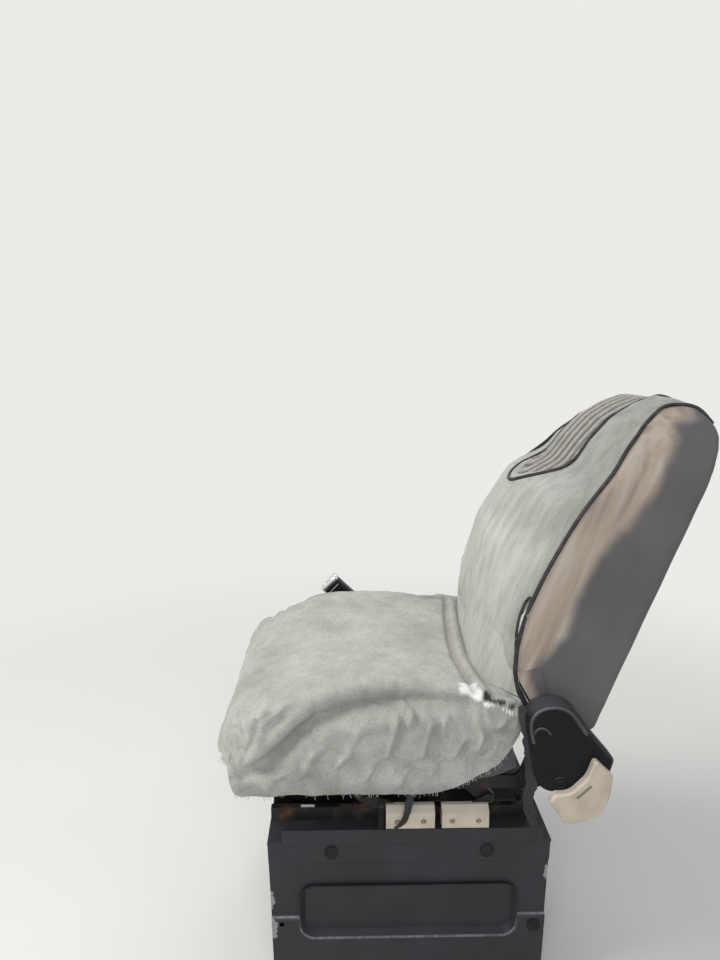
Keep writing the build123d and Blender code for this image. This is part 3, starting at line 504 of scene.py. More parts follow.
def moulded_rubber():
    """Moulded rubber plugs: matt black with a grey bloom."""
    made, tree, place = new_material("moulded_rubber")
    cloud = add(tree, "ShaderNodeTexNoise", {}, {"Vector": place, "Scale": per_metre(10), "Detail": 4.0})
    tone = add(tree, "ShaderNodeValToRGB", {"stops": [(0.35, "#19191b"), (0.7, "#272729")]},
               {"Fac": (cloud, "Fac")})
    relief = add(tree, "ShaderNodeBump", {}, {"Strength": 0.2, "Distance": 0.0003, "Height": (cloud, "Fac")})
    surface = add(tree, "ShaderNodeBsdfPrincipled", {}, {
        "Base Color": tone, "Roughness": 0.8, "IOR": 1.52, "Specular IOR Level": 0.25, "Normal": relief})
    add(tree, "ShaderNodeOutputMaterial", {}, {"Surface": surface})
    return made


def cotton_threads():
    """Cotton and polyester ends pulled out of torn edges: off-white, dusty."""
    made, tree, place = new_material("cotton_threads")
    cloud = add(tree, "ShaderNodeTexNoise", {}, {"Vector": place, "Scale": per_metre(15), "Detail": 3.0})
    tone = add(tree, "ShaderNodeValToRGB", {"stops": [(0.35, "#9f9d97"), (0.65, "#cfcec9")]},
               {"Fac": (cloud, "Fac")})
    surface = add(tree, "ShaderNodeBsdfPrincipled", {}, {
        "Base Color": tone, "Roughness": 0.95, "Specular IOR Level": 0.2})
    add(tree, "ShaderNodeOutputMaterial", {}, {"Surface": surface})
    return made


def pale_floor():
    """Smooth pale studio floor, which far away runs into the backdrop for the camera's own rays."""
    made, tree, place = new_material("studio_floor")
    speck = add(tree, "ShaderNodeTexNoise", {}, {"Vector": place, "Scale": per_metre(700), "Detail": 2.0})
    tone = add(tree, "ShaderNodeValToRGB", {"stops": [(0.3, "#dfdeda"), (0.7, "#e3e2de")]},
               {"Fac": (speck, "Fac")})
    matt = add(tree, "ShaderNodeBsdfPrincipled", {}, {
        "Base Color": tone, "Roughness": 0.85, "Specular IOR Level": 0.2})
    glow = add(tree, "ShaderNodeEmission", {}, {"Color": BACKDROP, "Strength": 1.0})
    far = add(tree, "ShaderNodeVectorMath", {"operation": "LENGTH"}, {0: place})
    fade = add(tree, "ShaderNodeMapRange", {"interpolation_type": "SMOOTHSTEP"}, {
        "Value": (far, "Value"), "From Min": 0.55, "From Max": 2.4, "To Min": 0.0, "To Max": 1.0})
    ray = add(tree, "ShaderNodeLightPath")
    direct = add(tree, "ShaderNodeMath", {"operation": "MAXIMUM"},
                 {0: (ray, "Is Camera Ray"), 1: (ray, "Is Glossy Ray")})
    seen = add(tree, "ShaderNodeMath", {"operation": "MULTIPLY"}, {0: direct, 1: fade})
    mixed = add(tree, "ShaderNodeMixShader", {}, {0: seen, 1: matt, 2: glow})
    add(tree, "ShaderNodeOutputMaterial", {}, {"Surface": mixed})
    return made


def unit(vectors):
    """The same vectors at length 1."""
    return vectors / np.maximum(np.linalg.norm(vectors, axis=-1, keepdims=True), 1e-9)


def smoothstep(value, low, high):
    """Eased rise from 0 at low to 1 at high."""
    t = np.clip((value - low) / (high - low), 0, 1)
    return t * t * (3 - 2 * t)


def ray_target(node):
    """A CAD node as a target for rays, in millimetres."""
    mesh = cad_nodes[node].data
    return BVHTree.FromPolygons([v.co / MM for v in mesh.vertices], [p.vertices[:] for p in mesh.polygons])


def resample(points, count):
    """The same line in count equal steps."""
    points = np.array(points)
    steps = np.linalg.norm(np.diff(points, axis=0), axis=1)
    length = np.concatenate([[0], np.cumsum(steps)])
    wanted = np.linspace(0, length[-1], count + 1)
    return np.stack([np.interp(wanted, length, points[:, k]) for k in range(3)], axis=1)


def wrap(node, centre, up, half, turn_deg, patch_cells, fan_cells, below=None):
    """Grid of points around a soft solid, as a cover is pulled over it.

    It goes straight out over a flat patch inside the solid, and fans around the patch's rim by turn_deg.
    Where below says so, a line of it ends, as at a hem.
    """
    target = ray_target(node)
    centre, right, up = Vector(centre), Vector((1, 0, 0)), Vector(up).normalized()
    out = right.cross(up)
    half_right, half_up = half
    count_right, count_up = patch_cells
    fine = 90
    corner_lines = 16
    longest_step = 16
    far_out = 700

    def hit(px, py, direction):
        """Where a ray from far out meets the solid on its way to a place of the patch."""
        start = centre + px * right + py * up
        place = target.ray_cast(start + direction * far_out, -direction)[0]
        return start if place is None else place

    def line(px, py, azimuth):
        """Points from the patch's rim around the solid, up to turn_deg or to where the line ends."""
        side = math.cos(azimuth) * right + math.sin(azimuth) * up
        points = []
        for k in range(fine + 1):
            angle = math.radians(turn_deg) * k / fine
            place = hit(px, py, math.cos(angle) * out + math.sin(angle) * side)
            if points and (place - points[-1]).length > longest_step:
                break
            points.append(place)
            if below is not None and k > fine // 3 and below(place):
                break
        return resample(points, fan_cells)

    lines = {}

    def kept(px, py, azimuth):
        """The same line, worked out only once."""
        key = (round(px, 2), round(py, 2), round(azimuth, 4))
        if key not in lines:
            lines[key] = line(px, py, azimuth)
        return lines[key]

    rows = []
    for i in range(-(count_right // 2) - fan_cells, count_right // 2 + fan_cells + 1):
        row = []
        a = max(0, abs(i) - count_right // 2)
        px = max(-1, min(1, i / (count_right / 2))) * half_right
        for j in range(-(count_up // 2) - fan_cells, count_up // 2 + fan_cells + 1):
            b = max(0, abs(j) - count_up // 2)
            py = max(-1, min(1, j / (count_up / 2))) * half_up
            if a == 0 and b == 0:
                row.append(np.array(hit(px, py, out)))
                continue
            share = 0.5 * b / a if a >= b else 1 - 0.5 * a / b
            low = min(corner_lines - 1, int(share * corner_lines))
            part = share * corner_lines - low
            ends = []
            for step in (low, low + 1):
                angle = math.pi / 2 * step / corner_lines
                azimuth = math.atan2(math.sin(angle) * (1 if j >= 0 else -1),
                                     math.cos(angle) * (1 if i >= 0 else -1))
                ends.append(kept(px, py, azimuth)[max(a, b)])
                if part < 1e-6:
                    ends.append(ends[0])
                    break
            row.append(ends[0] * (1 - part) + ends[1] * part)
        rows.append(row)
    return np.array(rows, float)


def smooth_grid(grid, rounds):
    """Evens a grid out; its edge only moves along itself."""
    for _ in range(rounds):
        inner = (grid[:-2, 1:-1] + grid[2:, 1:-1] + grid[1:-1, :-2] + grid[1:-1, 2:]) / 4
        moved = grid.copy()
        moved[1:-1, 1:-1] = 0.5 * grid[1:-1, 1:-1] + 0.5 * inner
        for k in (0, -1):
            moved[1:-1, k] = 0.5 * grid[1:-1, k] + 0.25 * (grid[:-2, k] + grid[2:, k])
            moved[k, 1:-1] = 0.5 * grid[k, 1:-1] + 0.25 * (grid[k, :-2] + grid[k, 2:])
        grid = moved
    return grid


def grid_normals(grid):
    """Outward directions at a grid's points."""
    return unit(np.cross(np.gradient(grid, axis=0), np.gradient(grid, axis=1)))


def to_line(a, b, path):
    """Distance of points (a, b) from a drawn line, positive to its left, and how far along it they are."""
    best = np.full(a.shape, np.inf)
    signed, along = np.zeros(a.shape), np.zeros(a.shape)
    path = np.array(path, float)
    lengths = np.linalg.norm(np.diff(path, axis=0), axis=1)
    total, gone = lengths.sum(), 0.0
    for start, end, length in zip(path[:-1], path[1:], lengths):
        da, db = (end - start) / length
        t = np.clip((a - start[0]) * da + (b - start[1]) * db, 0, length)
        off_a, off_b = a - start[0] - t * da, b - start[1] - t * db
        away = np.hypot(off_a, off_b)
        nearer = away < best
        best = np.where(nearer, away, best)
        signed = np.where(nearer, np.where(da * off_b - db * off_a >= 0, away, -away), signed)
        along = np.where(nearer, (gone + t) / total, along)
        gone += length
    return signed, along


def ridge(away, half_width):
    """Round rise of height 1 over a line."""
    return np.exp(-(away / half_width) ** 2)


def noise_field(points, size, seed, stretch=(1, 1, 1)):
    """Smooth seeded noise from -1 to 1 at each point, with features of size."""
    flat = points.reshape(-1, 3) / (size * np.array(stretch)) + seed * 17.3
    return np.array([noise.noise(Vector(p)) for p in flat]).reshape(points.shape[:-1])


def mesh_object(name, points, faces, materials, face_material=None, rounded=True):
    """A new piece from points in millimetres, faces and its materials."""
    mesh = bpy.data.meshes.new(name)
    mesh.from_pydata([tuple(p) for p in np.array(points) * MM], [], faces)
    for item in materials:
        mesh.materials.append(item)
    if face_material is not None:
        mesh.polygons.foreach_set("material_index", np.array(face_material, np.int32))
    mesh.polygons.foreach_set("use_smooth", np.full(len(mesh.polygons), rounded))
    mesh.update()
    made = bpy.data.objects.new(name, mesh)
    bpy.context.collection.objects.link(made)
    return made


def grid_faces(rows, columns):
    """The four corners of each cell of a grid."""
    index = np.arange(rows * columns).reshape(rows, columns)
    corners = np.stack([index[:-1, :-1], index[1:, :-1], index[1:, 1:], index[:-1, 1:]], axis=-1)
    return corners.reshape(-1, 4)


def grid_rim(rows, columns):
    """The points around a grid's edge, in turn."""
    return ([i * columns for i in range(rows)] + [(rows - 1) * columns + j for j in range(1, columns)]
            + [i * columns + columns - 1 for i in range(rows - 2, -1, -1)] + list(range(columns - 2, 0, -1)))


def set_attribute(obj, name, values):
    """Stores a value for each point of a piece, for its material to read."""
    made = obj.data.attributes.new(name, "FLOAT", "POINT")
    made.data.foreach_set("value", np.array(values, np.float32).ravel())


def catmull(points, steps):
    """A smooth line through points."""
    points = [np.array(p, float) for p in points]
    points = [2 * points[0] - points[1], *points, 2 * points[-1] - points[-2]]
    made = []
    for p0, p1, p2, p3 in zip(points[:-3], points[1:-2], points[2:-1], points[3:]):
        for k in range(steps):
            t = k / steps
            made.append(0.5 * (2 * p1 + (p2 - p0) * t + (2 * p0 - 5 * p1 + 4 * p2 - p3) * t ** 2
                               + (3 * p1 - p0 - 3 * p2 + p3) * t ** 3))
    made.append(points[-2])
    return np.array(made)


def tube(name, centre_line, radius, material, sides=12, uneven=0.0, seed=1):
    """A round tube along a line, closed at both ends."""
    line = np.array(centre_line, float)
    tangents = unit(np.gradient(line, axis=0))
    side = unit(np.cross(tangents, np.array([0.31, 0.24, 0.92])))
    other = np.cross(tangents, side)
    angles = np.linspace(0, 2 * math.pi, sides, endpoint=False)
    radii = np.full(len(line), float(radius)) * (1 + uneven * noise_field(line, 9, seed))
    rings = line[:, None] + radii[:, None, None] * (
        np.cos(angles)[None, :, None] * side[:, None] + np.sin(angles)[None, :, None] * other[:, None])
    return mesh_object(name, rings.reshape(-1, 3), ring_faces(len(line), sides), [material])


def ring_faces(rings, sides):
    """Faces of rings of points one after the other, closed at both ends."""
    faces = []
    for r in range(rings - 1):
        for k in range(sides):
            n = (k + 1) % sides
            faces.append((r * sides + k, r * sides + n, (r + 1) * sides + n, (r + 1) * sides + k))
    faces.append(tuple(range(sides))[::-1])
    faces.append(tuple(range((rings - 1) * sides, rings * sides)))
    return faces


def turned(profile, sides, places, axis):
    """Points and faces of like turned forms: profile is (radius, height) from the foot up, along axis."""
    axis = unit(np.array(axis, float))
    across = unit(np.cross(axis, np.array([0.31, 0.24, 0.92])))
    other = np.cross(axis, across)
    angles = np.linspace(0, 2 * math.pi, sides, endpoint=False)
    around = np.cos(angles)[:, None] * across + np.sin(angles)[:, None] * other
    form = np.concatenate([radius * around + height * axis for radius, height in profile])
    points, faces = [], []
    for place in places:
        faces += [tuple(k + len(points) for k in face) for face in ring_faces(len(profile), sides)]
        points += list(form + np.array(place, float))
    return points, faces


def joined(*forms):
    """Several forms as one."""
    points, faces = [], []
    for form_points, form_faces in forms:
        faces += [tuple(k + len(points) for k in face) for face in form_faces]
        points += list(form_points)
    return points, faces


def strip(name, line, width, facing, material, seed, ragged=0.0):
    """A flat strip of thin sheet along a line, with ragged edges; its face looks towards facing."""
    line = np.array(line, float)
    side = unit(np.cross(unit(np.gradient(line, axis=0)), np.array(facing, float)))
    widths = np.interp(np.linspace(0, 1, len(line)), np.linspace(0, 1, len(width)), width)
    across = np.linspace(-1, 1, 7)
    tatters = np.stack([1 + ragged * noise_field(line + 50 * end, 7, seed) for end in (-1, 1)], axis=1)
    reach = np.where(across[None] < 0, tatters[:, :1], tatters[:, 1:]) * across[None] * widths[:, None] / 2
    curl = 1.2 * noise_field(line, 16, seed + 1)[:, None] * across[None] ** 2
    grid = line[:, None] + reach[..., None] * side[:, None] + curl[..., None] * np.array(facing, float)
    return mesh_object(name, grid.reshape(-1, 3), grid_faces(*grid.shape[:2]).tolist(), [material])


def frayed(name, roots, outward, reach, material, seed, thickness=0.35):
    """Loose thread ends that stand out of an edge and hang down."""
    random = np.random.default_rng(seed)
    fall = np.array([0, 0, -0.35])
    forms = []
    for root, out in zip(np.array(roots, float), np.array(outward, float)):
        length = reach * random.uniform(0.35, 1.0)
        swing = random.normal(0, 0.45, 3)
        steps = np.linspace(0, 1, 5)[:, None]
        heading = unit(out * 0.5 + swing + np.array([0, 0, -0.6]))
        line = root + length * (steps * heading + steps ** 2 * fall + steps ** 2 * swing[::-1] * 0.3)
        rings = [turned([(thickness, 0)], 3, [place], heading)[0] for place in line]
        forms.append((np.concatenate(rings), ring_faces(len(line), 3)))
    points, faces = joined(*forms)
    return mesh_object(name, points, faces, [material])


def settle(piece, held, steps, most):
    """Lets a piece's cloth swell and sag for some steps and keeps it, with no point moved more than most."""
    stiffness = 15.0
    damping = 12
    spare_cloth = 0.03
    gravity_share = 0.6
    mesh = piece.data
    start = np.empty(len(mesh.vertices) * 3)
    mesh.vertices.foreach_get("co", start)
    start = start.reshape(-1, 3)
    pins = piece.vertex_groups.new(name="held")
    for level in range(1, 11):
        share = np.flatnonzero(np.round(held.ravel() * 10).astype(int) == level)
        if len(share):
            pins.add(share.tolist(), level / 10, "REPLACE")
    cloth = piece.modifiers.new("settle", "CLOTH")
    cloth.settings.quality = 2
    cloth.settings.mass = 0.25
    cloth.settings.tension_stiffness = stiffness
    cloth.settings.compression_stiffness = stiffness
    cloth.settings.shear_stiffness = stiffness / 2
    cloth.settings.bending_stiffness = 0.6
    cloth.settings.tension_damping = damping
    cloth.settings.compression_damping = damping
    cloth.settings.air_damping = 4
    cloth.settings.vertex_group_mass = "held"
    cloth.settings.shrink_min = -spare_cloth
    cloth.settings.use_pressure = True
    cloth.settings.uniform_pressure_force = 1.5
    cloth.settings.effector_weights.gravity = gravity_share
    cloth.collision_settings.use_collision = False
    cloth.collision_settings.use_self_collision = False
    cloth.point_cache.frame_start = 1
    cloth.point_cache.frame_end = steps
    for step in range(1, steps + 1):
        bpy.context.scene.frame_set(step)
    shown = piece.evaluated_get(bpy.context.evaluated_depsgraph_get())
    moved = np.empty(len(mesh.vertices) * 3)
    shown.data.vertices.foreach_get("co", moved)
    away = moved.reshape(-1, 3) - start
    length = np.linalg.norm(away, axis=1, keepdims=True)
    piece.modifiers.remove(cloth)
    piece.vertex_groups.remove(pins)
    bpy.context.scene.frame_set(1)
    away *= np.minimum(1, most * MM / np.maximum(length, 1e-9))
    mesh.vertices.foreach_set("co", (start + away).ravel())
    mesh.update()


def finish_node(node, material):
    """Gives a CAD node its finish."""
    mesh = cad_nodes[node].data
    mesh.materials.clear()
    mesh.materials.append(material)


def goes_with(piece, body):
    """Makes a new piece move with a body."""
    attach(piece, body)


# Studio and camera
camera_data = bpy.data.cameras.new("photo_view")
camera_data.sensor_fit = "VERTICAL"
camera_data.sensor_height = SENSOR_HIGH
camera_data.lens = SENSOR_HIGH * FOCAL_PX / PICTURE_HIGH_PX
camera_data.clip_start = 0.02
view = (-math.cos(LOOK_DOWN) * math.cos(LOOK_TO_REAR), math.cos(LOOK_DOWN) * math.sin(LOOK_TO_REAR),
        -math.sin(LOOK_DOWN))
bpy.context.scene.camera = look(bpy.data.objects.new("photo_view", camera_data), EYE, view)
bpy.context.scene.view_settings.view_transform = "Standard"

FLOOR_HALF = 9000
floor_corners = [(-FLOOR_HALF, -FLOOR_HALF, 0), (FLOOR_HALF, -FLOOR_HALF, 0), (FLOOR_HALF, FLOOR_HALF, 0),
                 (-FLOOR_HALF, FLOOR_HALF, 0)]
mesh_object("studio_floor", floor_corners, [(0, 1, 2, 3)], [pale_floor()])
soft_box("window_light", (0.3, -1.9, 2.5), (0, -0.05, 0.5), 1.3, 50, "#fffdf8")
soft_box("door_light", (2.6, -0.2, 1.9), (0, 0, 0.5), 1.8, 38, "#f8f9ff")
soft_box("far_light", (-2.0, 0.2, 2.3), (0, 0, 0.6), 1.6, 22, "#ffffff")

world = bpy.data.worlds.new("studio")
world.use_nodes = True
sky_tree = world.node_tree
sky_tree.nodes.clear()
ray = add(sky_tree, "ShaderNodeLightPath")
seen = add(sky_tree, "ShaderNodeMath", {"operation": "MAXIMUM"},
           {0: (ray, "Is Camera Ray"), 1: (ray, "Is Glossy Ray")})
soft_sky = add(sky_tree, "ShaderNodeBackground", {}, {"Color": "#e8ecf0", "Strength": 0.4})
backdrop = add(sky_tree, "ShaderNodeBackground", {}, {"Color": BACKDROP, "Strength": 1.0})
chosen = add(sky_tree, "ShaderNodeMixShader", {}, {0: seen, 1: soft_sky, 2: backdrop})
add(sky_tree, "ShaderNodeOutputWorld", {}, {"Surface": chosen})
bpy.context.scene.world = world

# Finishes
box_paint = pressed_steel_paint()
black_steel = rusted_enamel("black_enamelled_steel_rusted")
rusty_steel = rusted_enamel("spring_steel_rusted", 0.25)
spring_steel = bare_steel("spring_steel_wire", "#8f8c86", 0.45)
zinc = bare_steel("zinc_plated_steel", "#a9a8a2", 0.35)
chrome = bare_steel("chromed_steel", "#dfe0e2", 0.14)
cream = moulded_plastic("moulded_abs_cream", "#b3a897", "#c4b9a8", "#cdc5b5", 0.5, 0.4)
soft_black = moulded_plastic(
    "moulded_polypropylene_black", "#07070b", "#0e0e13", "#4d4c51", 0.5, 0.2, grain_mm=1.2, depth_mm=0.25)
# paler plastic of the recliner covers' bead and arc, a painted highlight
painted_highlight_black = moulded_plastic(
    "moulded_polypropylene_painted_highlight", "#2e2d32", "#47464b", "#6b6a6f", 0.4, 0.4, grain_mm=1.2, depth_mm=0.1)
rubber = moulded_rubber()
board_vinyl = grained_vinyl("grained_vinyl_grey", "#4b4a4c", "#5d5c5e")
skirt_vinyl = grained_vinyl("grained_vinyl_skirt", "#48464a", "#575458")
trim_vinyl = grained_vinyl("grained_vinyl_black_torn", "#1d1c20", "#38363a", 2.0)
terry = worn_terry()
plush = seat_plush()
velour = ribbed_velour()
side_vinyl = dust_and_light_vinyl()
welt = vinyl_piping()
thread = cotton_threads()

for node in cad_nodes:
    if node.startswith(("box_side", "box_front", "box_rear", "box_top", "floor_flange")):
        finish_node(node, box_paint)
    elif node == "box_plugs":
        finish_node(node, rubber)
    elif node == "cushion_springs":
        finish_node(node, spring_steel)
    elif node in ("grip_front", "grip_rear", "recliner_lever"):
        finish_node(node, cream)
    elif node.startswith("recliner_cap") or node in ("buckle_stalk", "belt_buckle"):
        finish_node(node, soft_black)
    elif node == "backrest_board":
        finish_node(node, board_vinyl)
    elif node not in ("cushion_pad", "cushion_cover", "backrest_pad"):
        finish_node(node, black_steel)


# Cushion and its loose cover
def hem_height(y):
    """Height of the cover's hem at y."""
    return float(np.interp(y, [p[0] for p in HEM], [p[1] for p in HEM]))


def above_hem(place):
    """Whether the cover still goes on at a place: its hem is uneven by a few millimetres."""
    return place.z < hem_height(place.y) + 4 * noise.noise(Vector((place.y / 17, place.x / 17, 3.1)))


def drawn_in(grid, side):
    """Sinks the valley below the top edge on one side and raises the folds of the slack cloth under it."""
    y, z = grid[..., 1], grid[..., 2]
    outer = smoothstep(side * grid[..., 0], 150, 205)
    away, along = to_line(y, z, VALLEY)
    ends = smoothstep(along, 0.0, 0.12) * (1 - 0.6 * smoothstep(along, 0.75, 1.0))
    push = (-21 * ridge(away, 10.5) + 8 * ridge(away + 30, 18) + 5 * ridge(away - 21, 12)) * ends * outer
    for upper, lower, height, half_width in FOLDS:
        if side == INBOARD:
            upper, lower = (upper[0] * 0.9 - 14, upper[1] - 8), (lower[0] * 0.9 - 4, lower[1] - 2)
        off, part = to_line(y, z, [upper, lower])
        taper = smoothstep(part, 0, 0.25) * (1 - smoothstep(part, 0.75, 1))
        fold = ridge(off, half_width) - 0.8 * ridge(off - 2 * half_width, half_width)
        push += height * fold * taper * outer
    crease, _ = to_line(y, z, FRONT_CREASE)
    push += (-5 * ridge(crease, 4.5) + 3 * ridge(crease - 11, 8)) * outer * smoothstep(z, 420, 450)
    below_valley = smoothstep(-away, 14, 34) * smoothstep(z, 386, 405) * outer
    lean = np.stack([grid[..., 0] * 0, y + 0.22 * (z - 480), z], axis=-1)
    return push + 3.4 * noise_field(lean, 24, 2 + side, (1, 0.7, 3.4)) * below_valley


def hang_down(grid):
    """Below its fullest line the cloth hangs from the sides and doesn't follow the cushion under."""
    x, z = grid[..., 0], grid[..., 2]
    low = 1 - smoothstep(z, 386, 424)
    wave = 4 * noise_field(grid * np.array([0, 1, 0]), 30, 6)
    sides = smoothstep(np.abs(x), 195, 228)
    reach = np.maximum(248.5 + wave - np.abs(x), 0)
    front = smoothstep(-grid[..., 1], 195, 245)
    fuller = np.interp(z, [p[0] for p in FRONT_FULLER], [p[1] for p in FRONT_FULLER])
    to_side = np.sign(x) * reach * low * sides * 0.92
    down = -8 * low * np.maximum(sides, front)
    return np.stack([to_side, -fuller * front, down], axis=-1)


def sat_down(grid, facing_up):
    """The side away from the door is sat in: it lies lower along its edge, and lowest at the rear."""
    x, y, z = grid[..., 0], grid[..., 1], grid[..., 2]
    edge = smoothstep(-x, 130, 225)
    lower = facing_up * edge * (4 + 11 * smoothstep(y, 10, 105))
    corner = smoothstep(-x, 110, 225) * smoothstep(-y, 170, 285) * smoothstep(z, 470, 535)
    return -lower - 9 * corner


def gathered_front(grid):
    """A slack front face, gathers over its corners, and a few puckers at the door side's corner."""
    x, y, z = grid[..., 0], grid[..., 1], grid[..., 2]
    front = smoothstep(-y, 225, 285)
    lean = np.stack([x, y * 0, z], axis=-1)
    push = 2.2 * noise_field(lean, 40, 5, (1, 1, 2.6)) * front * smoothstep(z, 392, 430)
    on_face = smoothstep(z, 395, 440) * (1 - smoothstep(z, 510, 545))
    for side, depth in ((DOOR, 2.8), (INBOARD, 1.2)):
        corner = smoothstep(side * x, 165, 220) * smoothstep(-y, 205, 250)
        angle = np.arctan2(side * x - 180, -y - 235)
        push += depth * np.cos(9 * angle + z / 26) * corner * on_face
    for start, end, height in CORNER_PUCKERS:
        off, part = to_line(y, z, [start, end])
        taper = smoothstep(part, 0, 0.3) * (1 - smoothstep(part, 0.7, 1)) * smoothstep(x, 205, 232)
        push += height * (ridge(off, 3.5) - 0.8 * ridge(off - 7, 3.5)) * taper
    return push


def seat_form(node, turn_deg, patch_cells, fan_cells, below=None):
    """Evened grid around one of the cushion's solids."""
    centre, to_rear, half = (0, -70, 470), (0, 1, 0), (150, 150)
    return smooth_grid(wrap(node, centre, to_rear, half, turn_deg, patch_cells, fan_cells, below), SMOOTHINGS)


cover_grid = seat_form("cushion_cover", 128, (76, 76), 52, above_hem)
outward = grid_normals(cover_grid)
push = drawn_in(cover_grid, DOOR) + drawn_in(cover_grid, INBOARD) + gathered_front(cover_grid)
facing_up = smoothstep(outward[..., 2], 0.6, 0.95)
push += facing_up * (2.2 * noise_field(cover_grid, 130, 7) + 0.8 * noise_field(cover_grid, 42, 8))
push += 0.35 * noise_field(cover_grid, 14, 9) + sat_down(cover_grid, facing_up)
tuck, _ = to_line(cover_grid[..., 0], cover_grid[..., 1], REAR_TUCK)
push += facing_up * (4.5 * ridge(tuck - 13, 8) - 6 * ridge(tuck, 4.5) - 7 * smoothstep(tuck, 20, 32))
tear_away, tear_along = to_line(cover_grid[..., 1], cover_grid[..., 2], TEAR)
along_tear = smoothstep(tear_along, 0, 0.1) * (1 - smoothstep(tear_along, 0.9, 1))
on_edge = smoothstep(cover_grid[..., 0], 225, 238) * along_tear
push += on_edge * (4 * ridge(tear_away + 9, 5) - 7 * ridge(tear_away, 3.2) + 3 * ridge(tear_away - 8, 4))
cover_grid = smooth_grid(cover_grid + hang_down(cover_grid) + outward * push[..., None], 1)
cover_faces = grid_faces(*cover_grid.shape[:2]).tolist()
cover = mesh_object("cushion_cover_cloth", cover_grid.reshape(-1, 3), cover_faces, [terry])
goes_with(cover, "carriage")
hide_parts("cushion_cover")

core_grid = seat_form("cushion_pad", 150, (30, 30), 24)
outward = grid_normals(core_grid)
push = np.minimum(drawn_in(core_grid, DOOR) + drawn_in(core_grid, INBOARD), 0)
push += sat_down(core_grid, smoothstep(outward[..., 2], 0.6, 0.95))
push -= 9 * smoothstep(-core_grid[..., 1], 205, 250)
core_grid = core_grid + outward * (push - CORE_SUNK)[..., None]
rows, columns = core_grid.shape[:2]
core = mesh_object("cushion_core", core_grid.reshape(-1, 3),
                   grid_faces(rows, columns).tolist() + [grid_rim(rows, columns)], [skirt_vinyl])
goes_with(core, "carriage")
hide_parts("cushion_pad")

x, y, z = (cover_grid[..., k] for k in range(3))
rim_held = np.ones(cover_grid.shape[:2])
rim_held[3:-3, 3:-3] = 0
side_slack = smoothstep(np.abs(x), 205, 235) * (1 - smoothstep(z, 540, 556)) * smoothstep(z, 392, 410)
held_share = np.maximum(rim_held, 1 - 0.9 * side_slack - 0.5 * facing_up)
settle(cover, held_share, SETTLING_STEPS, SETTLED_AT_MOST)
white_away, _ = to_line(y, z, WHITE_WEAR)
tattered = tear_away + 2.5 * noise_field(cover_grid, 17, 32)
patchy = 0.7 + 0.6 * noise_field(cover_grid, 16, 31)
torn_rim = 0.8 * patchy * on_edge * ridge(tattered + 7, 3)
rubbed_white = smoothstep(x, 204, 218) * ridge(white_away, 10) * patchy + torn_rim
set_attribute(cover, "worn_thin", smoothstep(rubbed_white, 0.3, 0.55))
torn = on_edge * ridge(tattered, 4.2) * smoothstep(patchy, 0.35, 0.7)
set_attribute(cover, "torn", smoothstep(torn, 0.3, 0.6))
# darker towards the hem; painted shade in the valley under the top edge and in the rear tuck
darker_to_hem = np.clip(1 - (z - 384) / 30, 0, 1) * (0.6 + 0.4 * noise_field(cover_grid, 22, 4))
valley_away, valley_along = to_line(y, z, VALLEY)
valley_shade = ridge(valley_away, 12) * smoothstep(np.abs(x), 190, 215) * smoothstep(valley_along, 0.02, 0.2)
tuck_shade = facing_up * ridge(tuck, 7)
set_attribute(cover, "grime", np.clip(0.55 * darker_to_hem + 0.3 * valley_shade + 0.4 * tuck_shade, 0, 1))

HEM_THREADS = 80        # along each edge
random = np.random.default_rng(5)
hem_roots, hem_outward = [], []
for rim, out in ((cover_grid[-1], (1, 0, 0)), (cover_grid[0], (-1, 0, 0)), (cover_grid[:, 0], (0, -1, 0))):
    for k in sorted(random.choice(len(rim), HEM_THREADS, replace=False)):
        hem_roots.append(rim[k])
        hem_outward.append(out)
goes_with(frayed("hem_threads", hem_roots, hem_outward, 6, thread, 6), "carriage")
torn_places = np.argwhere((np.abs(tear_away) < 3.5) & (on_edge > 0.5))
torn_roots = cover_grid[tuple(torn_places[::7].T)]
tear_outward = np.tile((0.9, 0, 0.4), (len(torn_roots), 1))
goes_with(frayed("tear_threads", torn_roots, tear_outward, 9, thread, 7), "carriage")

# Grey vinyl skirt of the cushion that shows below the cover's hem on the door side
SKIRT_LOW = [(28, 397), (78, 401), (133, 412), (170, 427)]
SKIRT_HIGH = [(18, 424), (70, 440), (120, 466), (156, 486)]
skirt_rows = [catmull([(238, *low), (239, *(np.array(low) + high) / 2), (241, *high)], 5)
              for low, high in zip(SKIRT_LOW, SKIRT_HIGH)]
skirt_grid = np.stack([catmull(column, 9) for column in np.stack(skirt_rows, axis=1)], axis=0)
skirt_grid[..., 0] += 1.5 * noise_field(skirt_grid, 26, 41)
skirt_faces = grid_faces(*skirt_grid.shape[:2]).tolist()
skirt = mesh_object("cushion_skirt_flap", skirt_grid.reshape(-1, 3), skirt_faces, [skirt_vinyl])
goes_with(skirt, "carriage")

# Backrest
def slipped(z):
    """How far the cover has slipped round the inboard shoulder at a height."""
    return WELT_SLIPPED * smoothstep(z, 820, 900)


